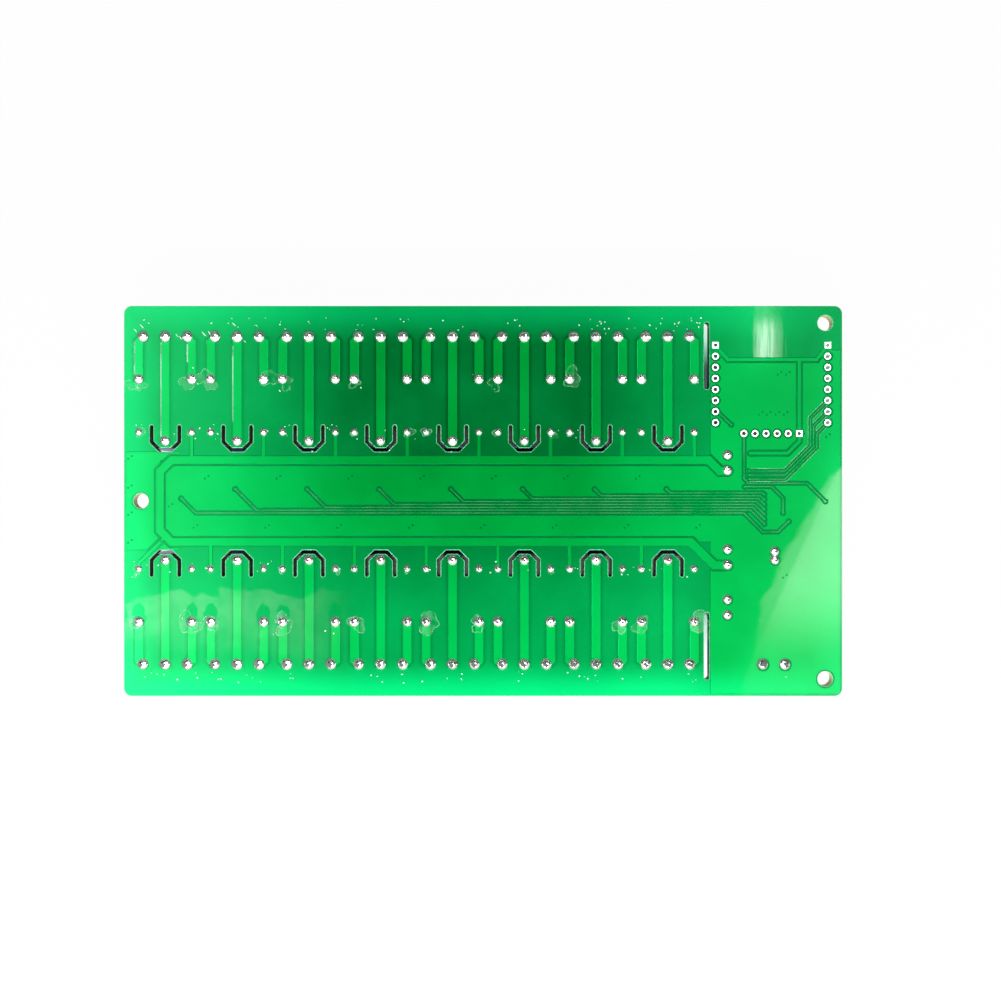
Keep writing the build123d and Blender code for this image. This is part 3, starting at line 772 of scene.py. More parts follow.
def clouded_material(name, size, stops, roughness, ior):
    """Surface whose tone wanders through its stops."""
    material, tree, shader, where = new_material(name)
    colour = clouds(tree, where, size, stops)
    fill(tree, shader, {"Base Color": colour, "Roughness": roughness, "IOR": ior})
    return material, tree, shader


def laminate_material():
    """Glass-epoxy laminate, cut by a router: a dull straw green edge with glass showing pale."""
    material, tree, shader, where = new_material("glass_epoxy_laminate")
    fibres = add(tree, "ShaderNodeMapping", {"Vector": where, "Scale": (0.4, 0.4, 6.0)})
    stops = [(0.3, "#93a86a"), (0.55, "#c4c592"), (0.75, "#e2deb8")]
    fill(tree, shader, {"Base Color": clouds(tree, fibres, 0.6, stops, 4.0), "Roughness": 0.62,
                        "IOR": 1.5})
    return material


def rim_material():
    """Mask fractured by the router beside a slot: thin, pale mint and half matt."""
    stops = [(0.35, "#12964e"), (0.65, "#4cc98c")]
    return clouded_material("fractured_mask_rim", 0.8, stops, 0.4, 1.5)[0]


def shaded_slot_wall_material():
    """Wall of a milled slot, painted near black for the shade inside it, and matt."""
    stops = [(0.35, "#0b120a"), (0.7, "#1d2a18")]
    return clouded_material("milled_slot_wall_painted_shade", 0.7, stops, 0.8, 1.5)[0]


def pooled_shade_material():
    """Solder mask pooling thick beside the foil, painted dark also for the shade there."""
    stops = [(0.3, "#004a1c"), (0.7, "#00602a")]
    material, tree, shader = clouded_material("solder_mask_pooled_painted_shade", 6.0, stops, 0.3, MASK_IOR)
    fill(tree, shader, {"Specular Tint": linear(MASK_SHINE)})
    return material


def residue_and_highlight_material(name, low, high, size):
    """Pale film over the mask, clear in places and chalky in others, whose cover wanders between
    two shares in clouds of a size. It serves for dried flux, and for thin mask with painted highlights."""
    material, tree, shader, where = new_material(name)
    cloud = add(tree, "ShaderNodeTexNoise", {"Vector": where, "Scale": 1 / size, "Detail": 3.0})
    cover = add(tree, "ShaderNodeMapRange", (cloud, 0.38, 0.62, low, high))
    fill(tree, shader, {"Base Color": linear("#9af0c0"), "Roughness": 0.4, "Alpha": cover})
    return material


def metal_material(name, shades, roughness, dent_size, dent_depth):
    """Metal with uneven tone and fine dents."""
    material, tree, shader, where = new_material(name)
    colour = clouds(tree, where, dent_size * 2, zip((0.35, 0.65), shades))
    fill(tree, shader, {"Base Color": colour, "Metallic": 1.0, "Roughness": roughness})
    roughen(tree, shader, where, dent_size, 0.4, dent_depth)
    return material


def plastic_material(name, shades, roughness):
    """Moulded plastic: even colour, fine spark-eroded texture, a soft shine."""
    material, tree, shader, where = new_material(name)
    colour = clouds(tree, where, 6.0, zip((0.3, 0.7), shades))
    fill(tree, shader, {"Base Color": colour, "Roughness": roughness, "IOR": 1.54})
    roughen(tree, shader, where, SPARK_GRAIN, 0.25, SPARK_DEPTH)
    return material


def relay_material():
    """Moulded PBT case, matt blue, whose open end is sealed flush with black epoxy."""
    material, tree, shader, where = new_material("relay_case_pbt")
    blue = clouds(tree, where, 6.0, [(0.3, "#1b46b0"), (0.7, "#2350bf")])
    parts = add(tree, "ShaderNodeSeparateXYZ", (where,))
    sealed = add(tree, "ShaderNodeMath", (parts.outputs["Z"], UNDERSIDE - 0.02),
                 operation="GREATER_THAN")
    colour = add(tree, "ShaderNodeMix", {0: sealed, 6: blue, 7: linear("#0b0b0d")}, data_type="RGBA")
    fill(tree, shader, {"Base Color": colour.outputs[2], "Roughness": 0.4, "IOR": 1.57})
    roughen(tree, shader, where, SPARK_GRAIN, 0.25, SPARK_DEPTH)
    return material


# Board: the mask is deep green on bare laminate and brighter where copper lies under it.
# Both have a mint glow painted near the board's edges; the third value is its share.
MASK_LAMINATE = mask_material("solder_mask_on_laminate", ("#006427", "#006f2d", "#007c36"), 0.32, 0.17)
MASK_FOIL = mask_material("solder_mask_on_copper", ("#009232", "#009b37", "#00a43e"), 0.3, 0.14)
# Dark mask for the flanks and gaps: mask pooling there, with painted shade
MASK_POOLED_SHADE = pooled_shade_material()
LAMINATE = laminate_material()
RIM = rim_material()
# Slot walls painted dark for the shade inside them
SHADED_SLOT_WALL = shaded_slot_wall_material()

# Left by hand soldering and washing: chalky rims, clear films and white crumbs. With them, painted
# shadow rings round the joints and pale films with painted highlights over the foil.
JOINT_SHADOW_PAINT = plastic_material("painted_joint_shadow", ("#001c0c", "#00341a"), 0.35)
FLUX_RIM = residue_and_highlight_material("dried_flux_rim", 0.02, 0.42, 1.4)
FLUX_FILM = residue_and_highlight_material("dried_flux_film", 0.0, 0.16, 2.2)
# Pale films for thin mask over the foil, partly painted highlights
THIN_MASK_HIGHLIGHT = residue_and_highlight_material("thin_mask_painted_highlight_on_shoulder", 0.25, 0.7, 4.0)
TRACE_TOP_HIGHLIGHT = residue_and_highlight_material("thin_mask_painted_highlight_on_trace", 0.0, 0.16, 5.0)
CRUMB = plastic_material("flux_crumb_white", ("#d8f4e2", "#f6fff8"), 0.45)

# Metals: bright reflowed tin, duller drawn and stamped parts, and a gilded aerial.
SOLDER = metal_material("tin_solder", ("#d9dcda", "#f1f2ee"), 0.2, 0.5, 0.04)
PIN_TIN = metal_material("tinned_copper_pin", ("#8d8a80", "#b9b4a6"), 0.35, 0.4, 0.03)
HASL = metal_material("levelled_tin_pad", ("#e4e6e2", "#f6f6f2"), 0.28, 0.7, 0.02)
SHIELD = metal_material("tinned_steel_shield", ("#b9bcbe", "#cfd1d2"), 0.3, 1.2, 0.02)
ALUMINIUM = metal_material("capacitor_can_aluminium", ("#c9cbcd", "#dcdee0"), 0.3, 1.0, 0.01)
SCREW_ZINC = metal_material("zinc_plated_screw", ("#b4b8bb", "#d2d5d6"), 0.28, 0.6, 0.02)
CLAMP_NICKEL = metal_material("nickelled_wire_clamp", ("#aaa9a2", "#c7c5bb"), 0.35, 0.5, 0.02)
AERIAL_GOLD = metal_material("gilded_aerial_trace", ("#c89a4a", "#dcb163"), 0.3, 0.8, 0.01)

# Sheared pin ends, painted dark for the shade and dark reflections on them, and the mouldings, sleeves,
# inks and cast bodies of the parts.
PIN_END_PAINTED_DARK = plastic_material("cropped_pin_end_painted_shade", ("#0e0c0a", "#2c2822"), 0.5)
RELAY_BLUE = relay_material()
TERMINAL_BLUE = plastic_material("terminal_polyamide", ("#1a6fd0", "#2079da"), 0.42)
CHIP_BLACK = plastic_material("moulded_epoxy_black", ("#17181a", "#202124"), 0.5)
SLEEVE = plastic_material("capacitor_sleeve_pvc", ("#121316", "#1b1c20"), 0.3)
SLEEVE_PRINT = plastic_material("sleeve_print_grey", ("#a9abad", "#b8babb"), 0.4)
RUBBER = plastic_material("capacitor_rubber_bung", ("#1c1c1d", "#262627"), 0.7)
BAND_PRINT = plastic_material("package_band_print", ("#c4c6c7", "#d0d2d2"), 0.55)
MODULE_MASK = plastic_material("module_mask_blue", ("#0c2f66", "#10387a"), 0.3)
LENS = plastic_material("lamp_epoxy_lens", ("#d23a30", "#e04a3e"), 0.25)
LAMP_BASE = plastic_material("lamp_white_base", ("#dcdcd6", "#e8e8e2"), 0.5)
FERRITE = plastic_material("choke_ferrite", ("#3a3b3d", "#48494b"), 0.6)

# ---- Circuit board ----


def guard_slot(number, width=GUARD_SLOT_WIDTH):
    """Slot of five straight cuts that wraps a channel's common pin."""
    corner_y = guard_back_y + GUARD_SLOT_CORNER
    arm_y = corner_y + GUARD_SLOT_ARM - width / 2 + GUARD_SLOT_WIDTH / 2
    end_x = GUARD_SLOT_SPAN - GUARD_SLOT_CORNER
    path = [(-GUARD_SLOT_SPAN, arm_y), (-GUARD_SLOT_SPAN, corner_y), (-end_x, guard_back_y),
            (end_x, guard_back_y), (GUARD_SLOT_SPAN, corner_y), (GUARD_SLOT_SPAN, arm_y)]
    return stroke(on_channel(number, path), width, round_ends=True)


def bay_slot(side):
    start = half_width - BAY_SLOT_EDGE - BAY_SLOT_WIDTH / 2
    end = half_width - BAY_SLOT_EDGE - BAY_SLOT_LENGTH + BAY_SLOT_WIDTH / 2
    return stroke([(bay_slot_x, side * start), (bay_slot_x, side * end)], BAY_SLOT_WIDTH,
                  round_ends=True)


def pin_hole(pin, size):
    return disc(pin.x, pin.y, hypot(size.x, size.y) / 2 + PIN_HOLE_SLACK, PIN_HOLE_SIDES)


def edge_finish(width):
    """Bevel, bevel's finish and wall's finish of an edge of the board, told by its loop's width: of a
    header hole, a bay slot, a guard slot, a screw hole, or else a pin hole or the outline."""
    # The guard slots' and bay slots' walls take dark finishes: painted shade for the inside of a slot.
    face, broken, laminate, shaded_wall, pooled_shade, tinned = range(6)
    loose = 0.02
    if width < 2 * HEADER_HOLE_RADIUS + loose:
        return EDGE_BREAK, face, tinned
    if abs(width - BAY_SLOT_WIDTH) < loose:
        return HOLE_RIM, broken, pooled_shade
    if 2 * GUARD_SLOT_SPAN < width < half_length:
        return SLOT_RIM, broken, shaded_wall
    if 2 * SCREW_HOLE_RADIUS - loose < width < half_length:
        return SLOT_RIM, broken, laminate
    return EDGE_BREAK, face, laminate


def circuit_board():
    """Routed and drilled board. Each edge of it has a bevel, where the cutter broke the mask."""
    shell = Shell()
    cuts = [guard_slot(number) for number in CHANNELS] + [bay_slot(side) for side in (-1, 1)]
    cuts += discs(screw_holes, SCREW_HOLE_RADIUS, HOLE_SIDES)
    cuts += discs(header_holes, HEADER_HOLE_RADIUS, 16)
    cuts += [pin_hole(*pin) for pin in contact_pins + coil_pins + terminal_pins + capacitor_leads]
    edges = region([rounded_block(half_length, half_width, BOARD_CORNER)], cuts)
    tops = []
    for loop in edges:
        width = max(point.x for point in loop) - min(point.x for point in loop)
        bevel, bevel_finish, wall_finish = edge_finish(width)
        tops.append(inset(loop, bevel))
        shell.wall(loop, FACE - EDGE_BREAK / 2, tops[-1], FACE, bevel_finish)
        shell.wall(loop, UNDERSIDE, loop, FACE - EDGE_BREAK / 2, wall_finish)
    shell.sheet(tops, FACE)
    shell.sheet(edges, UNDERSIDE, up=False)
    finishes = [MASK_LAMINATE, RIM, LAMINATE, SHADED_SLOT_WALL, MASK_POOLED_SHADE, HASL]
    shell.dress("circuit_board_routed", finishes, "board_mask", "circuit_board")


circuit_board()

# ---- Copper foil under the mask ----


def contact_track_outlines(number):
    """Common track, straight, and both switched tracks, which lose one outer corner."""
    near = contact_x - TRACK_WIDTH / 2
    far = contact_x + TRACK_WIDTH / 2
    slant = contact_x - terminal_x
    top = terminal_y + TRACK_OVERRUN
    switched = [(near, contact_y), (far, contact_y), (far, top - slant), (far - slant, top), (near, top)]
    mirrored = [(-x, y) for x, y in switched]
    common = block(-TRACK_WIDTH / 2, common_y, TRACK_WIDTH / 2, terminal_y)
    return [on_channel(number, outline) for outline in (common, switched, mirrored)]


def contact_tracks():
    shell = Shell()
    for number in CHANNELS:
        for outline in contact_track_outlines(number):
            loops = region([outline])
            shell.relief(loops, FOIL, FOIL_FLANK)
            shell.shaded_halo(loops, 1)
    shell.dress("contact_tracks_masked", [MASK_FOIL, MASK_LAMINATE], "foil_mask", "contact_tracks")


supply_pins = [pin for pin, _ in capacitor_leads if abs(pin.x - capacitor_leads[0][0].x) < 1]
supply_upper = min((pin for pin in supply_pins if pin.y > 0), key=lambda pin: pin.y)
supply_lower = sorted((pin for pin in supply_pins if pin.y < 0), key=lambda pin: -pin.y)[1]


def supply_path():
    """Middle line of the supply loop, whose ends step outwards to two capacitor leads."""
    upper_level = (supply_upper.x - UPPER_RAIL_RUN, supply_upper.y)
    lower_level = (supply_lower.x - LOWER_RAIL_RUN, supply_lower.y)
    upper_turn = (upper_level[0] - (rail_y - supply_upper.y), rail_y)
    lower_turn = (lower_level[0] - (-rail_y - supply_lower.y), -rail_y)
    return [tuple(supply_upper.xy), upper_level, upper_turn, (rail_x + RAIL_CORNER, rail_y),
            (rail_x, rail_y - RAIL_CORNER), (rail_x, RAIL_CORNER - rail_y),
            (rail_x + RAIL_CORNER, -rail_y), lower_turn, lower_level, tuple(supply_lower.xy)]


def coil_branches():
    """A branch from the loop to one coil pin of each channel; the first lower one runs slantwise."""
    paths = []
    for number in CHANNELS:
        path = on_channel(number, [(contact_x, rail_y), (contact_x, coil_y)])
        if path[0][0] > rail_x:
            paths.append(path)
    corner = RAIL_CORNER / 2
    pin_x = channel_x[9] - contact_x
    start = (rail_x + corner, corner - rail_y)
    turn_y = start[1] - (start[0] - pin_x)
    return paths + [[start, (pin_x, turn_y), (pin_x, -coil_y)]]


def supply_rails():
    shell = Shell()
    outlines = [stroke(supply_path(), RAIL_WIDTH, round_ends=True)]
    outlines += [stroke(path, BRANCH_WIDTH) for path in coil_branches()]
    # Flanks in the dark mask, with painted shade
    shell.relief(region(outlines), FOIL, FOIL_FLANK, 0, 1)
    shell.dress("supply_rails_masked", [MASK_FOIL, MASK_POOLED_SHADE], "foil_mask", "supply_rails")


register_via_x = half_length - REGISTER_VIA_INSET


def driver_lanes():
    """One trace from each column's via, down to its own lane and along to the registers' vias. The
    first starts beside the supply loop, and passes under the registers to a via beyond them."""
    start_x = rail_x + FIRST_VIA_SHIFT
    first = [(start_x, FIRST_VIA_Y), (start_x + (FIRST_VIA_Y - LANE_LOW_Y), LANE_LOW_Y)]
    beyond = [(-4.7, LANE_LOW_Y), (-0.4, -7.1), (3.1, -7.1), (5.6, -4.7)]
    paths = [first + [(register_via_x + x, y) for x, y in beyond]]
    for index in range(1, 8):
        start_x = channel_x[index + 1] - LANE_VIA_SHIFT
        lane_y = LANE_LOW_Y + LANE_PITCH * index
        end_y = REGISTER_VIA_TOP - REGISTER_VIA_PITCH * (7 - index)
        paths.append([(start_x, LANE_VIA_Y), (start_x + (LANE_VIA_Y - lane_y), lane_y),
                      (register_via_x - (lane_y - end_y), lane_y), (register_via_x, end_y)])
    return paths


def outer_lanes():
    """Three lanes side by side, from the outer header's last holes to the registers."""
    right, first = header_x[1], serial_x[0]
    turn_x = first + 9.4
    paths = []
    for lane in range(3):
        pad_y = header_y[5 + lane]
        lane_x = right - 4.0 + 0.75 * lane
        lane_y = 6.9 - 0.94 * lane
        paths.append([(right, pad_y), (lane_x, pad_y - (right - lane_x)),
                      (lane_x, lane_y + lane_x - turn_x), (turn_x, lane_y), (first + 1.2, lane_y)])
    return paths


def bay_traces():
    """Signal traces of the control bay: one from the inner header, one from the serial row, one
    between two vias, and the outer lanes."""
    left, first = header_x[0], serial_x[0]
    pad_y = header_y[6]
    from_inner = [(left, pad_y), (left + 1.1, pad_y - 0.6), (left + 3.6, pad_y - 3.0)]
    from_serial = [(first, serial_y), (first, 5.1), (first + 1.0, 4.1), (screw_x - 4.2, 4.1),
                   (screw_x, -0.1)]
    between_vias = [(wifi.x - 6.2, 3.3), (wifi.x, 3.3), (wifi.x + 2.6, 0.7), (wifi.x + 2.6, -2.7)]
    return [from_inner, from_serial, between_vias, *outer_lanes()]


def wide_traces():
    """Supply trace between the first pins of both side headers, with a branch to the serial row."""
    left, right = header_x
    first, last = serial_x[0], serial_x[-1]
    y = header_y[0] - 3.3
    low_y = serial_y - 4.5
    return [[(left, header_y[0]), (left + 2.9, y), (right - 2.6, y), (right, header_y[0])],
            [(last, y), (last, serial_y - 1.8), (last - 2.7, low_y), (first + 1.4, low_y)]]


def tented_vias():
    """Vias filled by the mask, which show as small rings: at both ends of each driver lane, at the
    end of each bay trace, and where the one between two vias starts."""
    lanes, traces = driver_lanes(), bay_traces()
    return [path[0] for path in lanes] + [path[-1] for path in lanes + traces] + [traces[2][0]]


def via_marks():
    """Small vias of the pour, filled by the mask: each shows as a slanted pair of dimples."""
    left = [(1.4 - half_length, y) for y in (10.0, 3.3, -2.9, -9.3)] + [(rail_x + 2.4, -1.0)]
    rows = [(channel_x[column] + 9.5, 5.4) for column in range(1, 8)]
    rows += [(channel_x[column] + 6.9, -5.86) for column in range(1, 9)]
    bay = [(wifi.x + x, 29.3) for x in (1.8, 3.7)]
    bay += [(wifi.x + x, 20.1) for x in (-2.5, -0.7, 1.3, 3.2)]
    bay += [(wifi.x + 3.0, -17.3), (wifi.x + 12.9, 15.0)]
    return left + rows + bay


def dimples():
    """Dimples where the mask sinks into the small vias, drawn as low dark discs whose dark is painted
    shade.
    """
    shell = Shell()
    for x, y in via_marks():
        for side in (-1, 1):
            ring = disc(x + side * DIMPLE_SHIFT[0], y + side * DIMPLE_SHIFT[1], DIMPLE_RADIUS, 10)
            shell.relief([[Vector(point) for point in ring]], FOIL + POOL, 0.1)
    shell.dress("tented_via_dimples_painted_shade", [MASK_POOLED_SHADE], "foil_mask")


def pour_clearings():
    """Channels and rings that keep the pour clear of traces, pads, holes and joints."""
    gap = 2 * FOIL_GAP
    cuts = strokes([supply_path()], RAIL_WIDTH + gap)
    cuts += strokes(driver_lanes() + bay_traces(), TRACE_WIDTH + gap)
    cuts += strokes(wide_traces(), WIDE_TRACE_WIDTH + gap)
    cuts += discs(tented_vias(), VIA_RADIUS + FOIL_GAP, 12)
    cuts += discs(header_holes, HEADER_PAD_RADIUS + FOIL_GAP, 20)
    cuts += discs(screw_holes, SCREW_HOLE_RADIUS + 2 * HOLE_CLEAR, HOLE_SIDES)
    cuts += discs([pin.xy for pin, _ in capacitor_leads], CAPACITOR_JOINT + JOINT_GAP, 20)
    power_pins = [pin.xy for pin, _ in terminal_pins if pin.x > bay_slot_x]
    return cuts + discs(power_pins, TERMINAL_JOINT + JOINT_GAP, 20)


def patch_clearings():
    """What the pour's patch at the far end keeps clear of."""
    gap = 2 * FOIL_GAP
    cuts = [supply_path()[2:-2], stroke(supply_path(), RAIL_WIDTH + gap)]
    cuts += [stroke(path, BRANCH_WIDTH + gap) for path in coil_branches()]
    cuts += [guard_slot(number, GUARD_SLOT_WIDTH + 2 * SLOT_RIM) for number in (1, 9)]
    return cuts + discs(screw_holes, SCREW_HOLE_RADIUS + 2 * HOLE_CLEAR, HOLE_SIDES)


def ground_pour():
    """Field of foil inside the supply loop and over the control bay, and a patch at the far end. A
    dark sheet lies in its clearings: mask pooling there, and painted shade."""
    bay_x = bay_slot_x + BAY_SLOT_WIDTH / 2 + HOLE_CLEAR
    end_x = half_length - POUR_EDGE
    core = block(rail_x, -rail_y, bay_x + 1, rail_y)
    bay = block(bay_x, POUR_EDGE - half_width, end_x, half_width - POUR_TOP)
    margin = block(header_x[1], 0, end_x, half_width - POUR_TOP + POUR_MARGIN_RISE)
    patch = block(-end_x, -PATCH_HALF, rail_x + RAIL_CORNER + RAIL_WIDTH, PATCH_HALF)
    shell = Shell()
    flank = FOIL_FLANK * 0.6
    # Flanks in the dark mask, with painted shade
    shell.relief(region([core, bay, margin], pour_clearings()), FOIL, flank, 0, 1)
    shell.relief(region([patch], patch_clearings()), FOIL, flank, 0, 1)
    bores = discs(header_holes, HEADER_HOLE_RADIUS + 0.1, 16)
    bores += discs(screw_holes, SCREW_HOLE_RADIUS + HOLE_CLEAR, HOLE_SIDES)
    # Dark sheet in the clearings, with painted shade
    shell.sheet([inset(ring, 0.02) for ring in region([core, bay, margin], bores)], FACE + POOL, 1)
    shell.dress("ground_pour_masked", [MASK_FOIL, MASK_POOLED_SHADE], "foil_mask", "ground_pour")


def signal_traces():
    shell = Shell()
    outlines = strokes(driver_lanes() + bay_traces(), TRACE_WIDTH)
    outlines += strokes(wide_traces(), WIDE_TRACE_WIDTH)
    outlines += discs(tented_vias(), VIA_RADIUS, 12)
    pads = discs(header_holes, HEADER_PAD_RADIUS, 20)
    # Flanks in the dark mask, with painted shade
    shell.relief(region(outlines, pads), FOIL, TRACE_FLANK, 0, 1)
    shell.dress("signal_traces_masked", [MASK_FOIL, MASK_POOLED_SHADE], "foil_mask")


def thin_mask_highlights():
    """Mask drawn thin over the tops of the narrow traces and over the pour's edge beside the outer
    lanes, where the copper pales it; the pale film is partly a painted highlight on those tops and
    edges."""
    z = FACE + FOIL + THIN_LIFT
    pads = discs(header_holes, HEADER_PAD_RADIUS, 20)
    tops = [stroke(path, TRACE_WIDTH - 2 * TRACE_FLANK) for path in driver_lanes() + bay_traces()]
    channel = TRACE_WIDTH + 2 * FOIL_GAP
    edges = [stroke(path, channel + 2 * THIN_EDGE) for path in outer_lanes()]
    clear = [stroke(path, channel) for path in outer_lanes()]
    clear += discs(header_holes, HEADER_PAD_RADIUS + FOIL_GAP, 20)
    shell = Shell()
    shell.sheet(region(tops, pads), z)
    shell.sheet(region(edges, clear), z, 1)
    shell.dress("thin_mask_highlights_over_traces", [TRACE_TOP_HIGHLIGHT, THIN_MASK_HIGHLIGHT], "foil_mask")


contact_tracks()
supply_rails()
ground_pour()
signal_traces()
thin_mask_highlights()
dimples()

# ---- Repeated pieces, grown from points by Geometry Nodes ----


def sized_points(name, points):
    """Bare points that carry what their tuples hold: (place, size, height, turn)."""
    mesh = bpy.data.meshes.new(name)
    mesh.from_pydata([Vector(point[0]) * MM for point in points], [], [])
    for index, label in enumerate(("size", "height", "turn"), start=1):
        attribute = mesh.attributes.new(label, "FLOAT", "POINT")
        attribute.data.foreach_set("value", [point[index] for point in points])
    return mesh


def growing_tree(name, build, labels, material):
    """Node group that puts one form on every point, and its sockets' identifiers by label."""
    tree = bpy.data.node_groups.new(name, "GeometryNodeTree")
    tree.interface.new_socket("Geometry", in_out="INPUT", socket_type="NodeSocketGeometry")
    tree.interface.new_socket("Geometry", in_out="OUTPUT", socket_type="NodeSocketGeometry")
    sockets = {}
    for label in labels:
        socket = tree.interface.new_socket(label, in_out="INPUT", socket_type="NodeSocketFloat")
        sockets[label] = socket.identifier
    ends = add(tree, "NodeGroupInput")
    form = build(tree, ends.outputs)
    size, height, turn = [add(tree, "GeometryNodeInputNamedAttribute", {"Name": carried},
                              data_type="FLOAT") for carried in ("size", "height", "turn")]
    scale = add(tree, "ShaderNodeCombineXYZ", (size, size, height))
    rotation = add(tree, "ShaderNodeCombineXYZ", {"Z": turn})
    copies = add(tree, "GeometryNodeInstanceOnPoints", {
        "Points": ends.outputs["Geometry"], "Instance": form, "Rotation": rotation, "Scale": scale})
    real = add(tree, "GeometryNodeRealizeInstances", {"Geometry": copies})
    finished = add(tree, "GeometryNodeSetMaterial", {"Geometry": real, "Material": material})
    add(tree, "NodeGroupOutput", {"Geometry": finished})
    return tree, sockets


def grown(name, points, build, sizes, material, slot, *nodes):
    """A plain mesh of one form at many points. build(tree, sizes) adds the form's nodes and returns
    their last one."""
    piece = placed(name, sized_points(name, points))
    tree, sockets = growing_tree(name, build, sizes, material)
    modifier = piece.modifiers.new(name, "NODES")
    modifier.node_group = tree
    for label, value in sizes.items():
        modifier[sockets[label]] = float(value)
    view = bpy.context.evaluated_depsgraph_get()
    result = bpy.data.meshes.new_from_object(piece.evaluated_get(view))
    piece.modifiers.remove(modifier)
    piece.data = result
    finish_piece(piece, slot, *nodes)


def solder_cone(tree, sizes):
    """Cone with a bulged flank, one unit wide at its foot and one unit high."""
    cone = add(tree, "GeometryNodeMeshCone", {
        "Vertices": 24, "Side Segments": 6, "Fill Segments": 1, "Radius Top": sizes["Tip"],
        "Radius Bottom": 1.0, "Depth": 1.0}, fill_type="TRIANGLE_FAN")
    place = add(tree, "GeometryNodeInputPosition")
    height = add(tree, "ShaderNodeSeparateXYZ", (place,)).outputs["Z"]
    rest = add(tree, "ShaderNodeMath", (1.0, height), operation="SUBTRACT")
    hump = add(tree, "ShaderNodeMath", (rest, height), operation="MULTIPLY")
    swell = add(tree, "ShaderNodeMath", (hump, sizes["Bulge"], 1.0), operation="MULTIPLY_ADD")
    factor = add(tree, "ShaderNodeCombineXYZ", (swell, swell, 1.0))
    moved = add(tree, "ShaderNodeVectorMath", (place, factor), operation="MULTIPLY")
    shaped = add(tree, "GeometryNodeSetPosition", {"Geometry": cone.outputs["Mesh"], "Position": moved})
    return add(tree, "GeometryNodeSetShadeSmooth", {"Geometry": shaped, "Shade Smooth": True})


def joint_points(pins, radius, height, seed):
    """Joints of slightly uneven size over a row of pins."""
    chance = Random(seed)
    points = []
    for pin, _ in pins:
        size = radius * chance.uniform(0.94, 1.04)
        points.append(((pin.x, pin.y, FACE), size * MM, height * chance.uniform(0.85, 1.0) * MM,
                       chance.uniform(0, 2 * pi)))
    return points


def solder_joints():
    kinds = [("terminal_joints", terminal_pins, TERMINAL_JOINT, 0.95, "terminal_solder_joints"),
             ("contact_joints", contact_pins, CONTACT_JOINT, 0.85, "contact_solder_joints"),
             ("coil_joints", coil_pins, COIL_JOINT, 0.65, "coil_solder_joints"),
             ("capacitor_joints", capacitor_leads, CAPACITOR_JOINT, 0.75, "capacitor_solder_joints")]
    for seed, (name, pins, radius, height, node) in enumerate(kinds, start=1):
        grown(name, joint_points(pins, radius, height, seed), solder_cone,
              {"Tip": 0.35, "Bulge": 0.75}, SOLDER, "solder", node)


def cropped_end(tree, sizes):
    """Flat end of a pin, cropped above the solder: a low block, as long as it is high across."""
    size = add(tree, "ShaderNodeCombineXYZ", (1.0, sizes["Thickness"], 1.0))
    return add(tree, "GeometryNodeMeshCube", {"Size": size})


def ring_pad(tree, sizes):
    """Levelled tin on a drilled pad: a low ring with a rounded crown, one unit in radius."""
    whole = add(tree, "ShaderNodeMath", (1.0, sizes["Bore"]), operation="ADD")
    path_radius = add(tree, "ShaderNodeMath", (whole, 0.5), operation="MULTIPLY")
    path = add(tree, "GeometryNodeCurvePrimitiveCircle", {"Resolution": 24, "Radius": path_radius})
    band = add(tree, "ShaderNodeMath", (1.0, sizes["Bore"]), operation="SUBTRACT")
    crown = add(tree, "ShaderNodeMath", (band, 0.5), operation="MULTIPLY")
    section = add(tree, "GeometryNodeCurvePrimitiveCircle", {"Resolution": 8, "Radius": crown})
    ring = add(tree, "GeometryNodeCurveToMesh", {"Curve": path, "Profile Curve": section})
    return add(tree, "GeometryNodeSetShadeSmooth", {"Geometry": ring, "Shade Smooth": True})


def pin_ends():
    """Cropped ends in the joints, painted dark for the shade and dark reflections on them: name,
    pins, width in the upper and in the lower half of the board, thickness as a share of it, and height
    over the face."""
    kinds = [("terminal_pin_ends", terminal_pins, 0.8, 1.15, 0.7, 0.9),
             ("contact_pin_ends", contact_pins, 0.35, 0.7, 0.75, 0.75),
             ("coil_pin_ends", coil_pins, 0.35, 0.45, 0.8, 0.5),
             ("capacitor_lead_ends", capacitor_leads, 0.5, 0.5, 0.9, 0.6)]
    for seed, (name, pins, upper_width, lower_width, thickness, top) in enumerate(kinds, start=11):
        chance = Random(seed)
        points = []
        for pin, _ in pins:
            upper = pin.y > 0
            turn = radians(chance.uniform(10, 60) if upper else chance.uniform(-60, -20))
            width = (upper_width if upper else lower_width) * chance.uniform(0.85, 1.1)
            shift = 0.18 * width
            place = (pin.x - shift, pin.y + shift, FACE + top)
            points.append((place, width * MM, PIN_END_HEIGHT * MM, turn))
        grown(name, points, cropped_end, {"Thickness": thickness}, PIN_END_PAINTED_DARK, "pin_metal")


def header_pads():
    """Levelled tin round every header hole, on a square pad at the first pin of each row."""
    points = []
    for place in header_holes:
        radius = HEADER_SQUARE_RING if place in square_pads else HEADER_PAD_RADIUS
        points.append(((*place, FACE + PAD_LIFT), radius * MM, PAD_CROWN * MM, 0.0))
    bore = HEADER_HOLE_RADIUS / HEADER_PAD_RADIUS
    grown("header_pads", points, ring_pad, {"Bore": bore}, HASL, "pin_metal")
    shell = Shell()
    for x, y in square_pads:
        pad = square(x, y, 1.9 * HEADER_PAD_RADIUS)
        hole = disc(x, y, HEADER_HOLE_RADIUS + 0.12, 16)
        shell.relief(region([pad], [hole]), FOIL + 0.04, 0.08)
    shell.dress("square_header_pads", [HASL], "pin_metal")


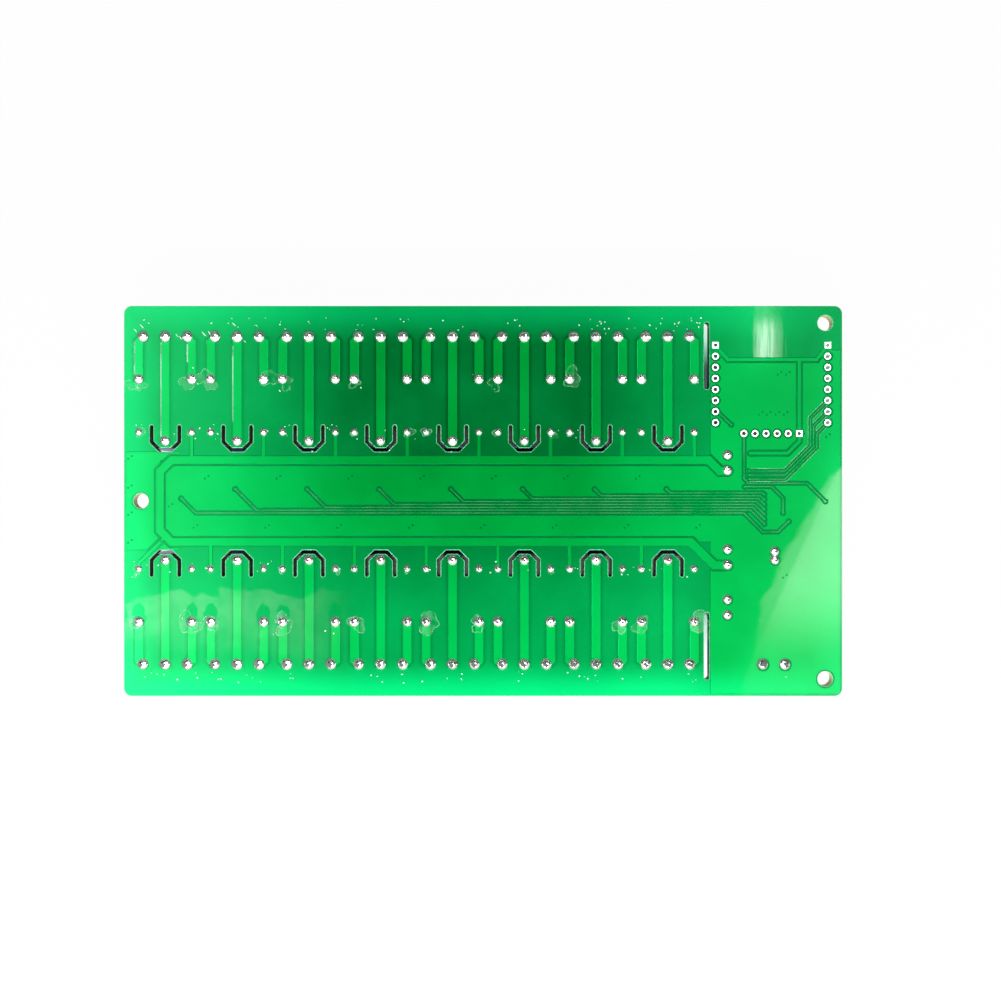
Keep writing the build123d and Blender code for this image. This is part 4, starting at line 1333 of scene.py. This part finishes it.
def joint_shadows():
    """Painted shadow round the joints, most on their far side: a dark ring set off behind each."""
    shell = Shell()
    joints = [(terminal_pins, TERMINAL_JOINT), (contact_pins, CONTACT_JOINT),
              (coil_pins, COIL_JOINT), (capacitor_leads, CAPACITOR_JOINT)]
    for pins, radius in joints:
        for pin, _ in pins:
            x, y = pin.x + SHADOW_RING_SHIFT[0], pin.y + SHADOW_RING_SHIFT[1]
            ring = [Vector(point) for point in disc(x, y, radius + SHADOW_RING_SPREAD, 20)]
            shell.relief([ring], FOIL + 0.01, 0.12, z=FACE + POOL)
    shell.dress("painted_joint_shadow_rings", [JOINT_SHADOW_PAINT], "foil_mask")


def blob(x, y, radius, chance, sides=30):
    """Closed outline of a dried drop, which wanders in and out."""
    swings = ((2, 0.22), (3, 0.16), (5, 0.1))
    waves = [(count, size, chance.uniform(0, 2 * pi)) for count, size in swings]
    outline = []
    for side in range(sides):
        angle = 2 * pi * side / sides
        reach = radius * (1 + sum(size * sin(count * angle + phase) for count, size, phase in waves))
        outline.append(Vector((x + reach * cos(angle), y + reach * sin(angle))))
    return outline


def flux_stains():
    """Dried flux round the hand-soldered joints: a thin film inside a paler rim. There is more of it
    towards the first channels."""
    chance = Random(7)
    shell = Shell()
    z = FACE + FOIL + FLUX_LIFT
    switched = [pin for pin in contact_pins if abs(pin[0].y) > (common_y + contact_y) / 2]
    for pins, near, share, shift in ((switched, 2.2, 1.0, 1.6), (coil_pins, 1.1, 0.7, 0.5)):
        for pin, _ in pins:
            crowd = max(0.25, min(1.0, 0.9 - (pin.x + half_length) / 110)) * share
            for _ in range(2):
                if chance.random() < crowd:
                    x = pin.x + chance.uniform(-shift, shift)
                    y = pin.y + chance.uniform(-shift, 0.4 * shift)
                    outer = blob(x, y, near * chance.uniform(0.55, 1.1), chance)
                    inner = inset(outer, 0.24)
                    shell.sheet([outer, inner], z, 0)
                    shell.sheet([inner], z, 1)
                    z += STAIN_STEP
    shell.dress("dried_flux_stains", [FLUX_RIM, FLUX_FILM], "foil_mask")


def speck(tree, sizes):
    """Flat crumb with few sides, one unit in radius."""
    crumb = add(tree, "GeometryNodeMeshCylinder", {"Vertices": 7, "Radius": 1.0, "Depth": 1.0})
    narrow = add(tree, "ShaderNodeCombineXYZ", (1.0, sizes["Narrow"], 1.0))
    return add(tree, "GeometryNodeTransform", {"Geometry": crumb.outputs["Mesh"], "Scale": narrow})


def crumb_places(chance):
    """Places near the joints, most of them by the coil pins at the far end, and along the upper edge
    by the last terminals."""
    places = []
    for pin, _ in terminal_pins:
        side = 1 if pin.y > 0 else -1
        for _ in range(chance.choice((0, 1, 2, 3))):
            places.append((pin.x + chance.uniform(-2.4, 2.4), pin.y + side * chance.uniform(1.6, 4.4)))
    for pin, _ in coil_pins:
        for _ in range(chance.choice((1, 2, 4) if pin.x < CRUMBED_X else (0, 0, 1, 2))):
            places.append((pin.x + chance.uniform(-1.9, 1.9), pin.y + chance.uniform(-1.9, 1.9)))
    for pin, _ in contact_pins:
        for _ in range(chance.choice((0, 1, 2) if pin.x < CRUMBED_X else (0, 0, 1))):
            places.append((pin.x + chance.uniform(-2.4, 2.4), pin.y + chance.uniform(-2.8, 2.8)))
    for _ in range(22):
        places.append((chance.uniform(24.0, 51.0), chance.uniform(38.4, 42.2)))
    return places


def crumbs():
    """White crumbs of flux and solder, and slanted scrapes by the first terminals."""
    chance = Random(23)
    points = [((x, y, FACE + FOIL), chance.uniform(0.08, 0.24) * MM, CRUMB_HEIGHT * MM,
               chance.uniform(0, pi)) for x, y in crumb_places(chance)]
    grown("flux_crumbs", points, speck, {"Narrow": 0.6}, CRUMB, "foil_mask")
    scrapes = []
    for pin, _ in terminal_pins:
        if pin.y > 0 and pin.x < SCRAPED_X:
            for _ in range(2):
                x, y = pin.x + chance.uniform(-2.6, 2.6), pin.y + chance.uniform(-1.2, 3.0)
                scrapes.append(((x, y, FACE + FOIL), chance.uniform(0.3, 0.75) * MM,
                                CRUMB_HEIGHT * MM, radians(chance.uniform(-62, -38))))
    grown("slanted_scrapes", scrapes, speck, {"Narrow": 0.16}, CRUMB, "foil_mask")


def highlighted_shoulders():
    """Left shoulders of the first upper tracks, where the mask is thin and shows pale: partly thin mask,
    partly a highlight painted on that side.
    """
    shell = Shell()
    shoulder = TRACK_WIDTH / 2 - 0.06
    runs = [(channel_x[1] - contact_x, contact_y + 1.2, terminal_y - 1.0),
            (channel_x[1], common_y + 1.0, terminal_y - 1.2),
            (channel_x[1] + contact_x, contact_y + 4.0, terminal_y - 1.6),
            (channel_x[2], common_y + 4.5, terminal_y - 2.0)]
    for x, low_y, high_y in runs:
        path = [(x - shoulder, low_y), (x - shoulder, high_y)]
        shell.sheet([stroke(path, 0.3)], FACE + FOIL + THIN_LIFT)
    shell.dress("painted_highlight_track_shoulders", [THIN_MASK_HIGHLIGHT], "foil_mask")


solder_joints()
pin_ends()
header_pads()
joint_shadows()
flux_stains()
crumbs()
highlighted_shoulders()


# ---- Component side, hung under the board ----


def hung(x, y, turn=1, drop=0.0):
    """Place of a part that is drawn standing on its seat at its own origin."""
    spin = Matrix.Rotation(0 if turn > 0 else pi, 4, "Z")
    return Matrix.Translation((x, y, UNDERSIDE - drop)) @ spin @ Matrix.Rotation(pi, 4, "Y")


def hung_from(node, drop=0.0):
    """Half length, half width and height of a CAD node's box, and its place under the board."""
    low, high = span(node)
    half = (high - low) / 2
    turn = 1 if high.y > 0 else -1
    return half.x, half.y, 2 * half.z, hung((low.x + high.x) / 2, (low.y + high.y) / 2, turn, drop)


def eased_top(height, ease, lean=0.0, steps=4):
    """Levels of a body's top edge, rounded over a quarter turn."""
    turns = [pi / 2 * step / steps for step in range(steps + 1)]
    return [(lean + ease * (1 - cos(turn)), height - ease * (1 - sin(turn))) for turn in turns]


def relay(number):
    """Sealed relay: a drafted case with rounded edges, a recessed collar and a vent dimple."""
    node = f"relay_{number:02d}"
    half_x, half_y, height, place = hung_from(node)
    collar, rise = RELAY_COLLAR
    vent_inset, vent_radius, vent_depth = RELAY_VENT
    vent = disc(half_x - vent_inset, half_y - vent_inset, vent_radius, 20)
    levels = [(collar, 0.0), (collar, rise), (0.0, rise + 0.05)]
    levels += eased_top(height, RELAY_EASE, RELAY_LEAN)
    case = Shell()
    case.stack(rounded_block(half_x, half_y, RELAY_CORNER), levels, 0, [vent], vent_depth)
    case.moved(place).dress(f"relay_case_{number:02d}", [RELAY_BLUE], "relay_case", node, crease=30)


def housing_section(rear, face, height):
    """End view of a terminal block: its foot, its front, its deck between two shoulders."""
    front = face - FOOT_LIP
    corners = [(face, 0.0), (face, FOOT_HEIGHT), (front, FOOT_HEIGHT), (front, SHOULDER_HEIGHT),
               (face - FRONT_SHOULDER, height), (rear + REAR_SHOULDER, height), (rear, SHOULDER_HEIGHT),
               (rear, 0.0)]
    return eased(corners, HOUSING_EASE)


def way_openings(part, start, front, front_run, deck_run, height):
    """The wire entry and the screw well of the way that begins at start."""
    low_x, high_x = start + WAY_GROOVE, start + TERMINAL_PITCH - WAY_GROOVE
    x = (low_x + high_x) / 2
    width, tall, deep = WIRE_ENTRY
    opening = block(x - width / 2, -WIRE_ENTRY_SILL - tall, x + width / 2, -WIRE_ENTRY_SILL)
    wire_face = Shell()
    wire_face.pocketed(block(low_x, -front_run[1].y, high_x, -front_run[0].y),
                       [eased(opening, WIRE_ENTRY_CORNER)], 0.0, deep)
    part.join(wire_face, Matrix.Translation((0, front, 0)) @ Matrix.Rotation(-pi / 2, 4, "X"))
    radius, depth = SCREW_WELL
    well = disc(x, (deck_run[0].x + deck_run[1].x) / 2, radius, HOLE_SIDES)
    part.pocketed(block(low_x, deck_run[1].x, high_x, deck_run[0].x), [well], height, depth)


def terminal_housing(node, name):
    """Moulded block, with a groove between neighbouring ways."""
    half_x, half_y, height, place = hung_from(node)
    front = half_y - FOOT_LIP
    section = housing_section(-half_y, half_y, height)
    sides = list(zip(section, section[1:] + section[:1]))
    pierced = [index for index, (start, end) in enumerate(sides)
               if max(abs(start.x - front), abs(end.x - front)) < 1e-4
               or max(abs(start.y - height), abs(end.y - height)) < 1e-4]
    front_run, deck_run = [sides[index] for index in pierced]
    part = Shell()
    levels = [(-half_x, WAY_GROOVE)]
    for way in range(round(2 * half_x / TERMINAL_PITCH)):
        start = -half_x + way * TERMINAL_PITCH
        end = start + TERMINAL_PITCH
        levels += [(start + WAY_GROOVE, 0.0), (end - WAY_GROOVE, 0.0), (end, WAY_GROOVE)]
        way_openings(part, start, front, front_run, deck_run, height)
    body = Shell()
    for (low_x, low_inset), (high_x, high_inset) in zip(levels, levels[1:]):
        skip = pierced if low_inset == high_inset else ()
        body.wall(inset(section, low_inset), low_x, inset(section, high_inset), high_x, skip=skip)
    body.sheet([inset(section, WAY_GROOVE)], -half_x, up=False)
    body.sheet([inset(section, WAY_GROOVE)], half_x)
    part.join(body, Matrix(((0, 0, 1, 0), (1, 0, 0, 0), (0, 1, 0, 0), (0, 0, 0, 1))))
    part.moved(place).dress(name, [TERMINAL_BLUE], "terminal_plastic", node, crease=30)


def way_places():
    """Place of every way of every terminal block, with its wire side towards its own +Y."""
    low, high = span("terminal_block_01")
    middle_y = (low.y + high.y) / 2
    return [hung(pin.x, middle_y if pin.y > 0 else -middle_y, pin.y) for pin, _ in terminal_pins]


def terminal_screw(height):
    """Slotted screw deep in its well."""
    deck_y = (REAR_SHOULDER - FRONT_SHOULDER) / 2
    seat = height - SCREW_WELL[1]
    top = seat + SCREW_HEAD
    width, depth = SCREW_SLOT
    head = disc(0, deck_y, SCREW_RADIUS, HOLE_SIDES)
    cut = stroke([(-2.2, deck_y - 1.1), (2.2, deck_y + 1.1)], width)
    screw = Shell()
    screw.prism([head], seat - 0.01, top - depth)
    screw.prism(region([head], [cut]), top - depth, top)
    return screw


def wire_clamp(half_y):
    """Cage that the wire enters, behind its opening."""
    middle_z = WIRE_ENTRY_SILL + WIRE_ENTRY[1] / 2
    outer = block(-1.55, -middle_z - 1.65, 1.55, -middle_z + 1.65)
    opening = block(-1.2, -middle_z - 0.7, 1.2, -middle_z + 1.3)
    cage = Shell()
    cage.prism(region([outer], [opening]), -CLAMP_DEPTH, 0.0)
    front = Matrix.Translation((0, half_y - FOOT_LIP - CLAMP_INSET, 0))
    return cage.moved(front @ Matrix.Rotation(-pi / 2, 4, "X"))


def terminal_metal():
    """A screw and a clamp in every way of every terminal block."""
    low, high = span("terminal_block_01")
    metal = [(terminal_screw(high.z - low.z), "terminal_screws", SCREW_ZINC),
             (wire_clamp((high.y - low.y) / 2), "wire_clamps", CLAMP_NICKEL)]
    for part, name, material in metal:
        shell = Shell()
        for place in way_places():
            shell.join(part, place)
        shell.dress(name, [material], "pin_metal", crease=30)


def capacitor_cans():
    """Electrolytic capacitors: a rubber bung, a rolled groove, a sleeve with its minus stripe, and a
    bare top scored to vent."""
    sleeve, bare, rubber, stripe = range(4)
    shell = Shell()
    for centre, size in solids("capacitors"):
        radius, height = size.x / 2 - 0.02, size.z
        bung = [(radius - 0.7, 0.0), (radius - 0.7, 0.25), (radius - 0.25, 0.3)]
        groove = [(radius, 0.55), (radius, 1.3), (radius - 0.35, 1.65), (radius - 0.35, 1.85),
                  (radius, 2.2)]
        top = [(radius, height - 0.35), (radius - 0.12, height - 0.1), (radius - 0.6, height),
               (radius - 0.75, height - 0.12)]
        can = Shell()
        can.turned(bung + groove + top, [rubber] * 2 + [sleeve] * 8 + [bare] * 2,
                   stripe=(7, 21, 28, stripe))
        for angle in (0, pi / 2):
            reach = (radius - 1.3) * Vector((cos(angle), sin(angle)))
            score = region([stroke([-reach, reach], 0.25)])
            can.relief(score, 0.03, 0.08, bare, bare, z=height - 0.12)
        shell.join(can, hung(centre.x, centre.y))
    finishes = [SLEEVE, ALUMINIUM, RUBBER, SLEEVE_PRINT]
    shell.dress("capacitor_cans", finishes, "capacitor_sleeve", "capacitors", crease=30)


def module_board(half_x, half_y, thickness, rows):
    """Board with plated half holes along three of its edges."""
    columns = [CASTELLATION_PITCH * (step - 2.5) for step in range(6)]
    places = [(side * half_x, y) for side in (-1, 1) for y in rows]
    notches = discs(places + [(x, -half_y) for x in columns], CASTELLATION_RADIUS, 16)
    board = Shell()
    board.prism(region([block(-half_x, -half_y, half_x, half_y)], notches), 0.0, thickness)
    return board


def module_gilding(half_x, half_y, thickness, rows):
    """Aerial that winds over the bare end, and the pads inside the half holes."""
    reach, top = half_x - 1.3, half_y - 0.9
    low = top - AERIAL_DEPTH
    path = [(-reach, top - 5.4), (-reach, top)]
    step = reach / AERIAL_TURNS
    for turn in range(AERIAL_TURNS):
        x = -reach + 2 * turn * step
        path += [(x + step, top), (x + step, low), (x + 2 * step, low), (x + 2 * step, top)]
    trace = Shell()
    trace.relief(region([stroke(path, AERIAL_WIDTH)]), 0.03, 0.02, z=thickness)
    for side in (-1, 1):
        for y in rows:
            pad = region([block(-0.75, -0.45, 0.75, 0.45)])[0]
            moved = [Vector((side * (half_x - 0.95) + point.x, y + point.y)) for point in pad]
            trace.relief([moved], 0.03, 0.02, z=thickness)
    return trace


def module_can(half_x, half_y, height):
    """Drawn can with a dimple by its first corner."""
    dimple = disc(0.5 - half_x + 0.9, half_y - 1.4, 0.5, 20)
    can = Shell()
    can.stack(rounded_block(half_x, half_y, 0.6), [(0.0, 0.0), *eased_top(height, 0.3)],
              0, [dimple], 0.08)
    return can


def wifi_module():
    """Module on its own board, whose half holes are soldered down, with its aerial and its can."""
    half_x, half_y, thickness, place = hung_from("wifi_module_board")
    rows = [half_y - CASTELLATION_EDGE - CASTELLATION_PITCH * row for row in range(8)]
    board = module_board(half_x, half_y, thickness, rows).moved(place)
    board.dress("wifi_module_castellated", [MODULE_MASK], "module_board", "wifi_module_board")
    gilding = module_gilding(half_x, half_y, thickness, rows).moved(place)
    gilding.dress("wifi_aerial", [AERIAL_GOLD], "pin_metal")
    *size, place = hung_from("wifi_module_shield", thickness)
    can = module_can(*size).moved(place)
    can.dress("wifi_module_can", [SHIELD], "shield_metal", "wifi_module_shield", crease=30)


def package(half_x, half_y, height, mark=None):
    """Moulded package: both halves slope from the parting line, over a small gap to the board. The
    mark is a dimple at (x, y)."""
    slope = min(PACKAGE_SLOPE, half_x / 8)
    pockets = [disc(*mark, 0.32, 16)] if mark else []
    part = Shell()
    levels = [(slope, PACKAGE_GAP), (0.0, height * 0.5), (0.0, height * 0.5 + PACKAGE_SEAM),
              (slope, height)]
    part.stack(block(-half_x, -half_y, half_x, half_y), levels, 0, pockets, 0.08)
    return part


def band_on(half_x, half_y):
    """Printed band across a diode, near one end of it."""
    if half_x > half_y:
        return block(half_x - 1.25, 0.2 - half_y, half_x - 0.8, half_y - 0.2)
    return [(-y, x) for x, y in block(half_y - 1.05, 0.2 - half_x, half_y - 0.6, half_x - 0.2)]


def packages():
    """Bodies of the chips, transistors and diodes: name, node, whether a dimple marks the first pin,
    and whether a band is printed."""
    kinds = [("register_packages", "shift_registers", True, False),
             ("transistor_packages", "driver_transistors", False, False),
             ("diode_packages", "flyback_diodes", False, True),
             ("converter_package", "converter_chip", True, False),
             ("rectifier_package", "input_rectifier", False, True)]
    for name, node, marked, banded in kinds:
        shell = Shell()
        for centre, size in solids(node):
            half_x, half_y, height = size.x / 2, size.y / 2, size.z
            part = package(half_x, half_y, height, (0.7 - half_x, half_y - 0.8) if marked else None)
            if banded:
                part.relief(region([band_on(half_x, half_y)]), 0.015, 0.01, 1, 1, z=height)
            shell.join(part, hung(centre.x, centre.y, centre.y))
        shell.dress(name, [CHIP_BLACK, BAND_PRINT], "chip_resin", node)


def gull_wing(tree, sizes):
    """Formed lead, one unit wide: its foot lies on the board, its riser stands at its origin and
    its shoulder enters the package."""
    thin, reach, rise = LEAD_THICKNESS, sizes["Reach"], sizes["Rise"]
    foot_size = add(tree, "ShaderNodeCombineXYZ", (reach, 1.0, thin))
    foot = add(tree, "GeometryNodeMeshCube", {"Size": foot_size})
    riser_size = add(tree, "ShaderNodeCombineXYZ", (thin, 1.0, rise))
    riser = add(tree, "GeometryNodeMeshCube", {"Size": riser_size})
    out, back, middle_z, down = [
        add(tree, "ShaderNodeMath", pair, operation="MULTIPLY")
        for pair in ((reach, 0.5), (reach, -0.5), (rise, -0.5), (rise, -1.0))]
    lead = add(tree, "GeometryNodeJoinGeometry")
    for mesh, x, z in ((foot, out, -thin / 2), (riser, 0.0, middle_z), (foot, back, down)):
        where = add(tree, "ShaderNodeCombineXYZ", {"X": x, "Z": z})
        part = add(tree, "GeometryNodeTransform", {"Geometry": mesh, "Translation": where})
        fill(tree, lead, {0: part})
    return lead


def lead_points(node, per_side, pitch, width):
    """Leads along both long sides of each package; a transistor has two and one."""
    points = []
    for centre, size in solids(node):
        turn = 1 if centre.y > 0 else -1
        for side, count in zip((-1, 1), per_side):
            for index in range(count):
                offset = (index - (count - 1) / 2) * pitch
                along_y = size.y > size.x
                out = (size.x if along_y else size.y) / 2 + LEAD_OFFSET
                x, y = (side * out, offset) if along_y else (offset, turn * side * out)
                angle = (0 if side > 0 else pi) if along_y else turn * side * pi / 2
                points.append(((centre.x + x, centre.y + y, UNDERSIDE), width * MM, width * MM, angle))
    return points


def package_leads():
    """Formed leads: name, node, leads on each side, pitch, width, and reach and rise in widths."""
    kinds = [("register_leads", "shift_registers", (8, 8), 1.27, 0.4, 1.5, 2.0),
             ("transistor_leads", "driver_transistors", (2, 1), 1.9, 0.4, 1.0, 1.4),
             ("converter_leads", "converter_chip", (4, 4), 1.27, 0.4, 1.4, 2.0)]
    for name, node, per_side, pitch, width, reach, rise in kinds:
        points = lead_points(node, per_side, pitch, width)
        grown(name, points, gull_wing, {"Reach": reach, "Rise": rise}, PIN_TIN, "pin_metal")


def diode_tabs():
    """Flat tabs folded under both ends of the diodes."""
    shell = Shell()
    for centre, size in solids("flyback_diodes") + solids("input_rectifier"):
        along_x = size.x > size.y
        reach = max(size.x, size.y) / 2
        half = min(size.x, size.y) / 2 - 0.3
        for side in (-1, 1):
            tab = block(reach - 0.3, -half, reach + 0.55, half)
            turned = [(side * x, side * y) if along_x else (-side * y, side * x) for x, y in tab]
            part = Shell()
            part.stack(eased(turned, 0.1), [(0.0, 0.0), (0.0, 0.22), (0.06, 0.28)])
            shell.join(part, hung(centre.x, centre.y))
    shell.dress("diode_tabs", [PIN_TIN], "pin_metal")


def lamps():
    """Chip lamps: a white base with plated ends under a domed lens."""
    lens, white, plated = range(3)
    shell = Shell()
    for centre, size in solids("indicator_lamps"):
        half_x, half_y, height = size.x / 2, size.y / 2, size.z
        inner_x, base = half_x - 0.3, height * 0.45
        part = Shell()
        part.stack(block(-inner_x, -half_y, inner_x, half_y), [(0.0, 0.0), (0.0, base)], white)
        for low_x, high_x in ((-half_x, -inner_x), (inner_x, half_x)):
            end = block(low_x, -half_y, high_x, half_y)
            part.stack(end, [(0.0, 0.0), (0.0, base)], plated)
        part.stack(rounded_block(half_x - 0.35, half_y - 0.05, 0.2),
                   [(0.0, base), *eased_top(height, 0.18)], lens)
        shell.join(part, hung(centre.x, centre.y))
    shell.dress("chip_lamps", [LENS, LAMP_BASE, PIN_TIN], "lamp_lens", "indicator_lamps", crease=30)


def choke():
    """Shielded choke: an epoxy foot under an eight-sided ferrite body with a round core in its top."""
    half_x, half_y, height, place = hung_from("converter_inductor")
    short_x, short_y = half_x - CHOKE_CORNER, half_y - CHOKE_CORNER
    outline = eased([(short_x, -half_y), (half_x, -short_y), (half_x, short_y), (short_x, half_y),
                     (-short_x, half_y), (-half_x, short_y), (-half_x, -short_y), (-short_x, -half_y)],
                    1.0)
    part = Shell()
    part.stack(outline, [(0.5, 0.0), (0.5, 0.9), (0.0, 1.1), *eased_top(height - 0.2, 0.5)])
    part.stack(disc(0, 0, half_x - 2.2, 40), [(0.0, height - 0.2), *eased_top(height, 0.15)])
    body = part.moved(place)
    body.dress("choke_body", [FERRITE], "choke_ferrite", "converter_inductor", crease=30)


for number in CHANNELS:
    relay(number)
    terminal_housing(f"terminal_block_{number:02d}", f"terminal_housing_{number:02d}")
terminal_housing("power_terminal_block", "power_terminal_housing")
terminal_metal()
capacitor_cans()
wifi_module()
packages()
package_leads()
diode_tabs()
lamps()
choke()


def tinned_pins():
    """The pins keep their CAD meshes."""
    for node in ("relay_contact_pins", "relay_coil_pins", "terminal_pins", "capacitor_leads"):
        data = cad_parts[node].data
        data.materials.clear()
        data.materials.append(PIN_TIN)


tinned_pins()

# ---- Room ----

CAMERA_HEIGHT = 150.0           # over the solder face
VIEW_WIDTH = 230.0092           # seen at the solder face
SENSOR = 36.0
CAMERA_X, CAMERA_Y = 4.0, 0.1
FLOOR_HALF = 4.0                # metres
SHADE_HALF = (0.070, 0.0295)    # floor in the board's deepest shade, in metres
SHADE_SHIFT = 0.0045
SHADE_EDGE = 0.014              # width of the margin round it, painted with green light
PANEL_HEIGHT = 0.3              # metres over the solder face


def camera():
    data = bpy.data.cameras.new("camera")
    data.sensor_width = SENSOR
    data.lens = CAMERA_HEIGHT * SENSOR / VIEW_WIDTH
    data.clip_start = 0.005
    data.clip_end = 20
    eye = bpy.data.objects.new("camera", data)
    eye.location = Vector((CAMERA_X, CAMERA_Y, FACE + CAMERA_HEIGHT)) * MM
    bpy.context.scene.collection.objects.link(eye)
    bpy.context.scene.camera = eye


def shade_distance(tree):
    """Distance out from the floor's deepest shade, in metres; it is below zero inside it."""
    place = add(tree, "ShaderNodeTexCoord")
    apart = add(tree, "ShaderNodeVectorMath", (place.outputs["Object"], (0.0, SHADE_SHIFT, 0.0)),
                operation="SUBTRACT")
    away = add(tree, "ShaderNodeVectorMath", (apart,), operation="ABSOLUTE")
    beyond = add(tree, "ShaderNodeVectorMath", (away, (*SHADE_HALF, 0.0)), operation="SUBTRACT")
    sides = add(tree, "ShaderNodeSeparateXYZ", (beyond,))
    return add(tree, "ShaderNodeMath", (sides.outputs["X"], sides.outputs["Y"]), operation="MAXIMUM")


def white_paper():
    """Matt paper that the eye, and what mirrors it, sees plain white. It darkens under the board,
    and the margin round that is painted with green light, as if the board's edge shone on it."""
    material = bpy.data.materials.new("white_paper")
    material.use_nodes = True
    tree = material.node_tree
    tree.nodes.clear()
    rays = add(tree, "ShaderNodeLightPath").outputs
    seen = add(tree, "ShaderNodeMath", (rays["Is Camera Ray"], rays["Is Glossy Ray"]),
               operation="MAXIMUM")
    through = add(tree, "ShaderNodeMath", (seen, rays["Is Transmission Ray"]), operation="MAXIMUM")
    outside = shade_distance(tree)
    open_floor = add(tree, "ShaderNodeMapRange", (outside, 0.0, SHADE_EDGE / 2, 0.0, 0.97))
    # Painted green light in the margin round the shade
    green_light_share = add(tree, "ShaderNodeMapRange", (outside, 0.0, SHADE_EDGE))
    pale = add(tree, "ShaderNodeMix", {0: green_light_share, 6: linear("#5fd89c"), 7: linear("#ffffff")},
               data_type="RGBA")
    paper = add(tree, "ShaderNodeBsdfDiffuse", {"Color": (0.86, 0.86, 0.86, 1)})
    white = add(tree, "ShaderNodeEmission", {"Color": pale.outputs[2], "Strength": 1.0})
    share = add(tree, "ShaderNodeMath", (through, open_floor), operation="MULTIPLY")
    mix = add(tree, "ShaderNodeMixShader", (share, paper, white))
    add(tree, "ShaderNodeOutputMaterial", {"Surface": mix})
    return material


def floor():
    mesh = bpy.data.meshes.new("paper_floor")
    corners = block(-FLOOR_HALF, -FLOOR_HALF, FLOOR_HALF, FLOOR_HALF)
    mesh.from_pydata([(x, y, 0) for x, y in corners], [], [(0, 1, 2, 3)])
    mesh.materials.append(white_paper())
    placed("paper_floor", mesh)


def panel(name, low, high, radiance, rise, fade=None, spin=0.0, lights=False):
    """Soft panel that hangs level over the board, between two corners given in metres. Fade is the
    axis along which its light falls off, and the places where it is full and where it is gone. A
    panel that doesn't light the scene is only seen in what mirrors it."""
    data = bpy.data.lights.new(name, "AREA")
    data.shape = "RECTANGLE"
    data.size, data.size_y = high[0] - low[0], high[1] - low[1]
    data.energy = radiance * pi * data.size * data.size_y
    if fade:
        axis, full, gone = fade
        data.use_nodes = True
        tree = data.node_tree
        tree.nodes.clear()
        place = add(tree, "ShaderNodeNewGeometry")
        along = add(tree, "ShaderNodeSeparateXYZ", (place.outputs["Position"],)).outputs[axis]
        level = add(tree, "ShaderNodeMapRange", (along, full, gone, 1.0, 0.0), **SMOOTH)
        glow = add(tree, "ShaderNodeEmission", {"Strength": level})
        add(tree, "ShaderNodeOutputLight", {"Surface": glow})
    light = bpy.data.objects.new(name, data)
    light.location = ((low[0] + high[0]) / 2, (low[1] + high[1]) / 2, FACE * MM + PANEL_HEIGHT + rise)
    light.rotation_euler = (0, 0, radians(spin))
    light.visible_diffuse = lights
    bpy.context.scene.collection.objects.link(light)


def room():
    """White room. To what mirrors it and to what it lights, it is bright low down and on the near
    side only; to the eye, and through what is clear, it is plain white."""
    world = bpy.data.worlds.new("soft_room")
    world.use_nodes = True
    tree = world.node_tree
    tree.nodes.clear()
    way = add(tree, "ShaderNodeTexCoord")
    parts = add(tree, "ShaderNodeSeparateXYZ", (way.outputs["Generated"],)).outputs
    low = add(tree, "ShaderNodeMapRange", (parts["Z"], 0.86, 0.55, 0.12, 1.0), **SMOOTH)
    near = add(tree, "ShaderNodeMapRange", (parts["Y"], 0.45, -0.1, 0.06, 1.0), **SMOOTH)
    rays = add(tree, "ShaderNodeLightPath").outputs
    seen = add(tree, "ShaderNodeMath", (rays["Is Camera Ray"], rays["Is Transmission Ray"]),
               operation="MAXIMUM")
    level = add(tree, "ShaderNodeMath", (low, near), operation="MULTIPLY")
    shown = add(tree, "ShaderNodeMath", (level, seen), operation="MAXIMUM")
    sky = add(tree, "ShaderNodeBackground", {"Color": (1, 1, 1, 1), "Strength": shown})
    add(tree, "ShaderNodeOutputWorld", {"Surface": sky})
    bpy.context.scene.world = world


def panels():
    """Two corners, radiance, rise over the lowest panels and fade of each."""
    panel("near_panel", (-0.30, -0.36), (0.30, -0.235), 15.0, 0.0, lights=True)
    panel("near_wide_panel", (-0.30, -0.22), (0.14, -0.001), 5.0, 0.004, ("Y", -0.09, -0.001))
    panel("left_panel", (-0.36, -0.17), (-0.08, 0.17), 9.5, 0.008, ("X", -0.24, -0.085))
    panel("right_panel", (0.202, -0.188), (0.302, 0.032), 3.85, 0.012, spin=-24.5)
    panel("right_wide_panel", (0.06, -0.16), (0.30, 0.16), 4.0, 0.016, ("X", 0.14, 0.06))
    panel("far_panel", (-0.30, 0.18), (0.30, 0.40), 9.0, 0.0)
    panel("strip_panel", (0.1786, 0.100), (0.2005, 0.160), 9.0, 0.020)


camera()
floor()
room()
panels()
bpy.context.scene.view_settings.view_transform = "Standard"
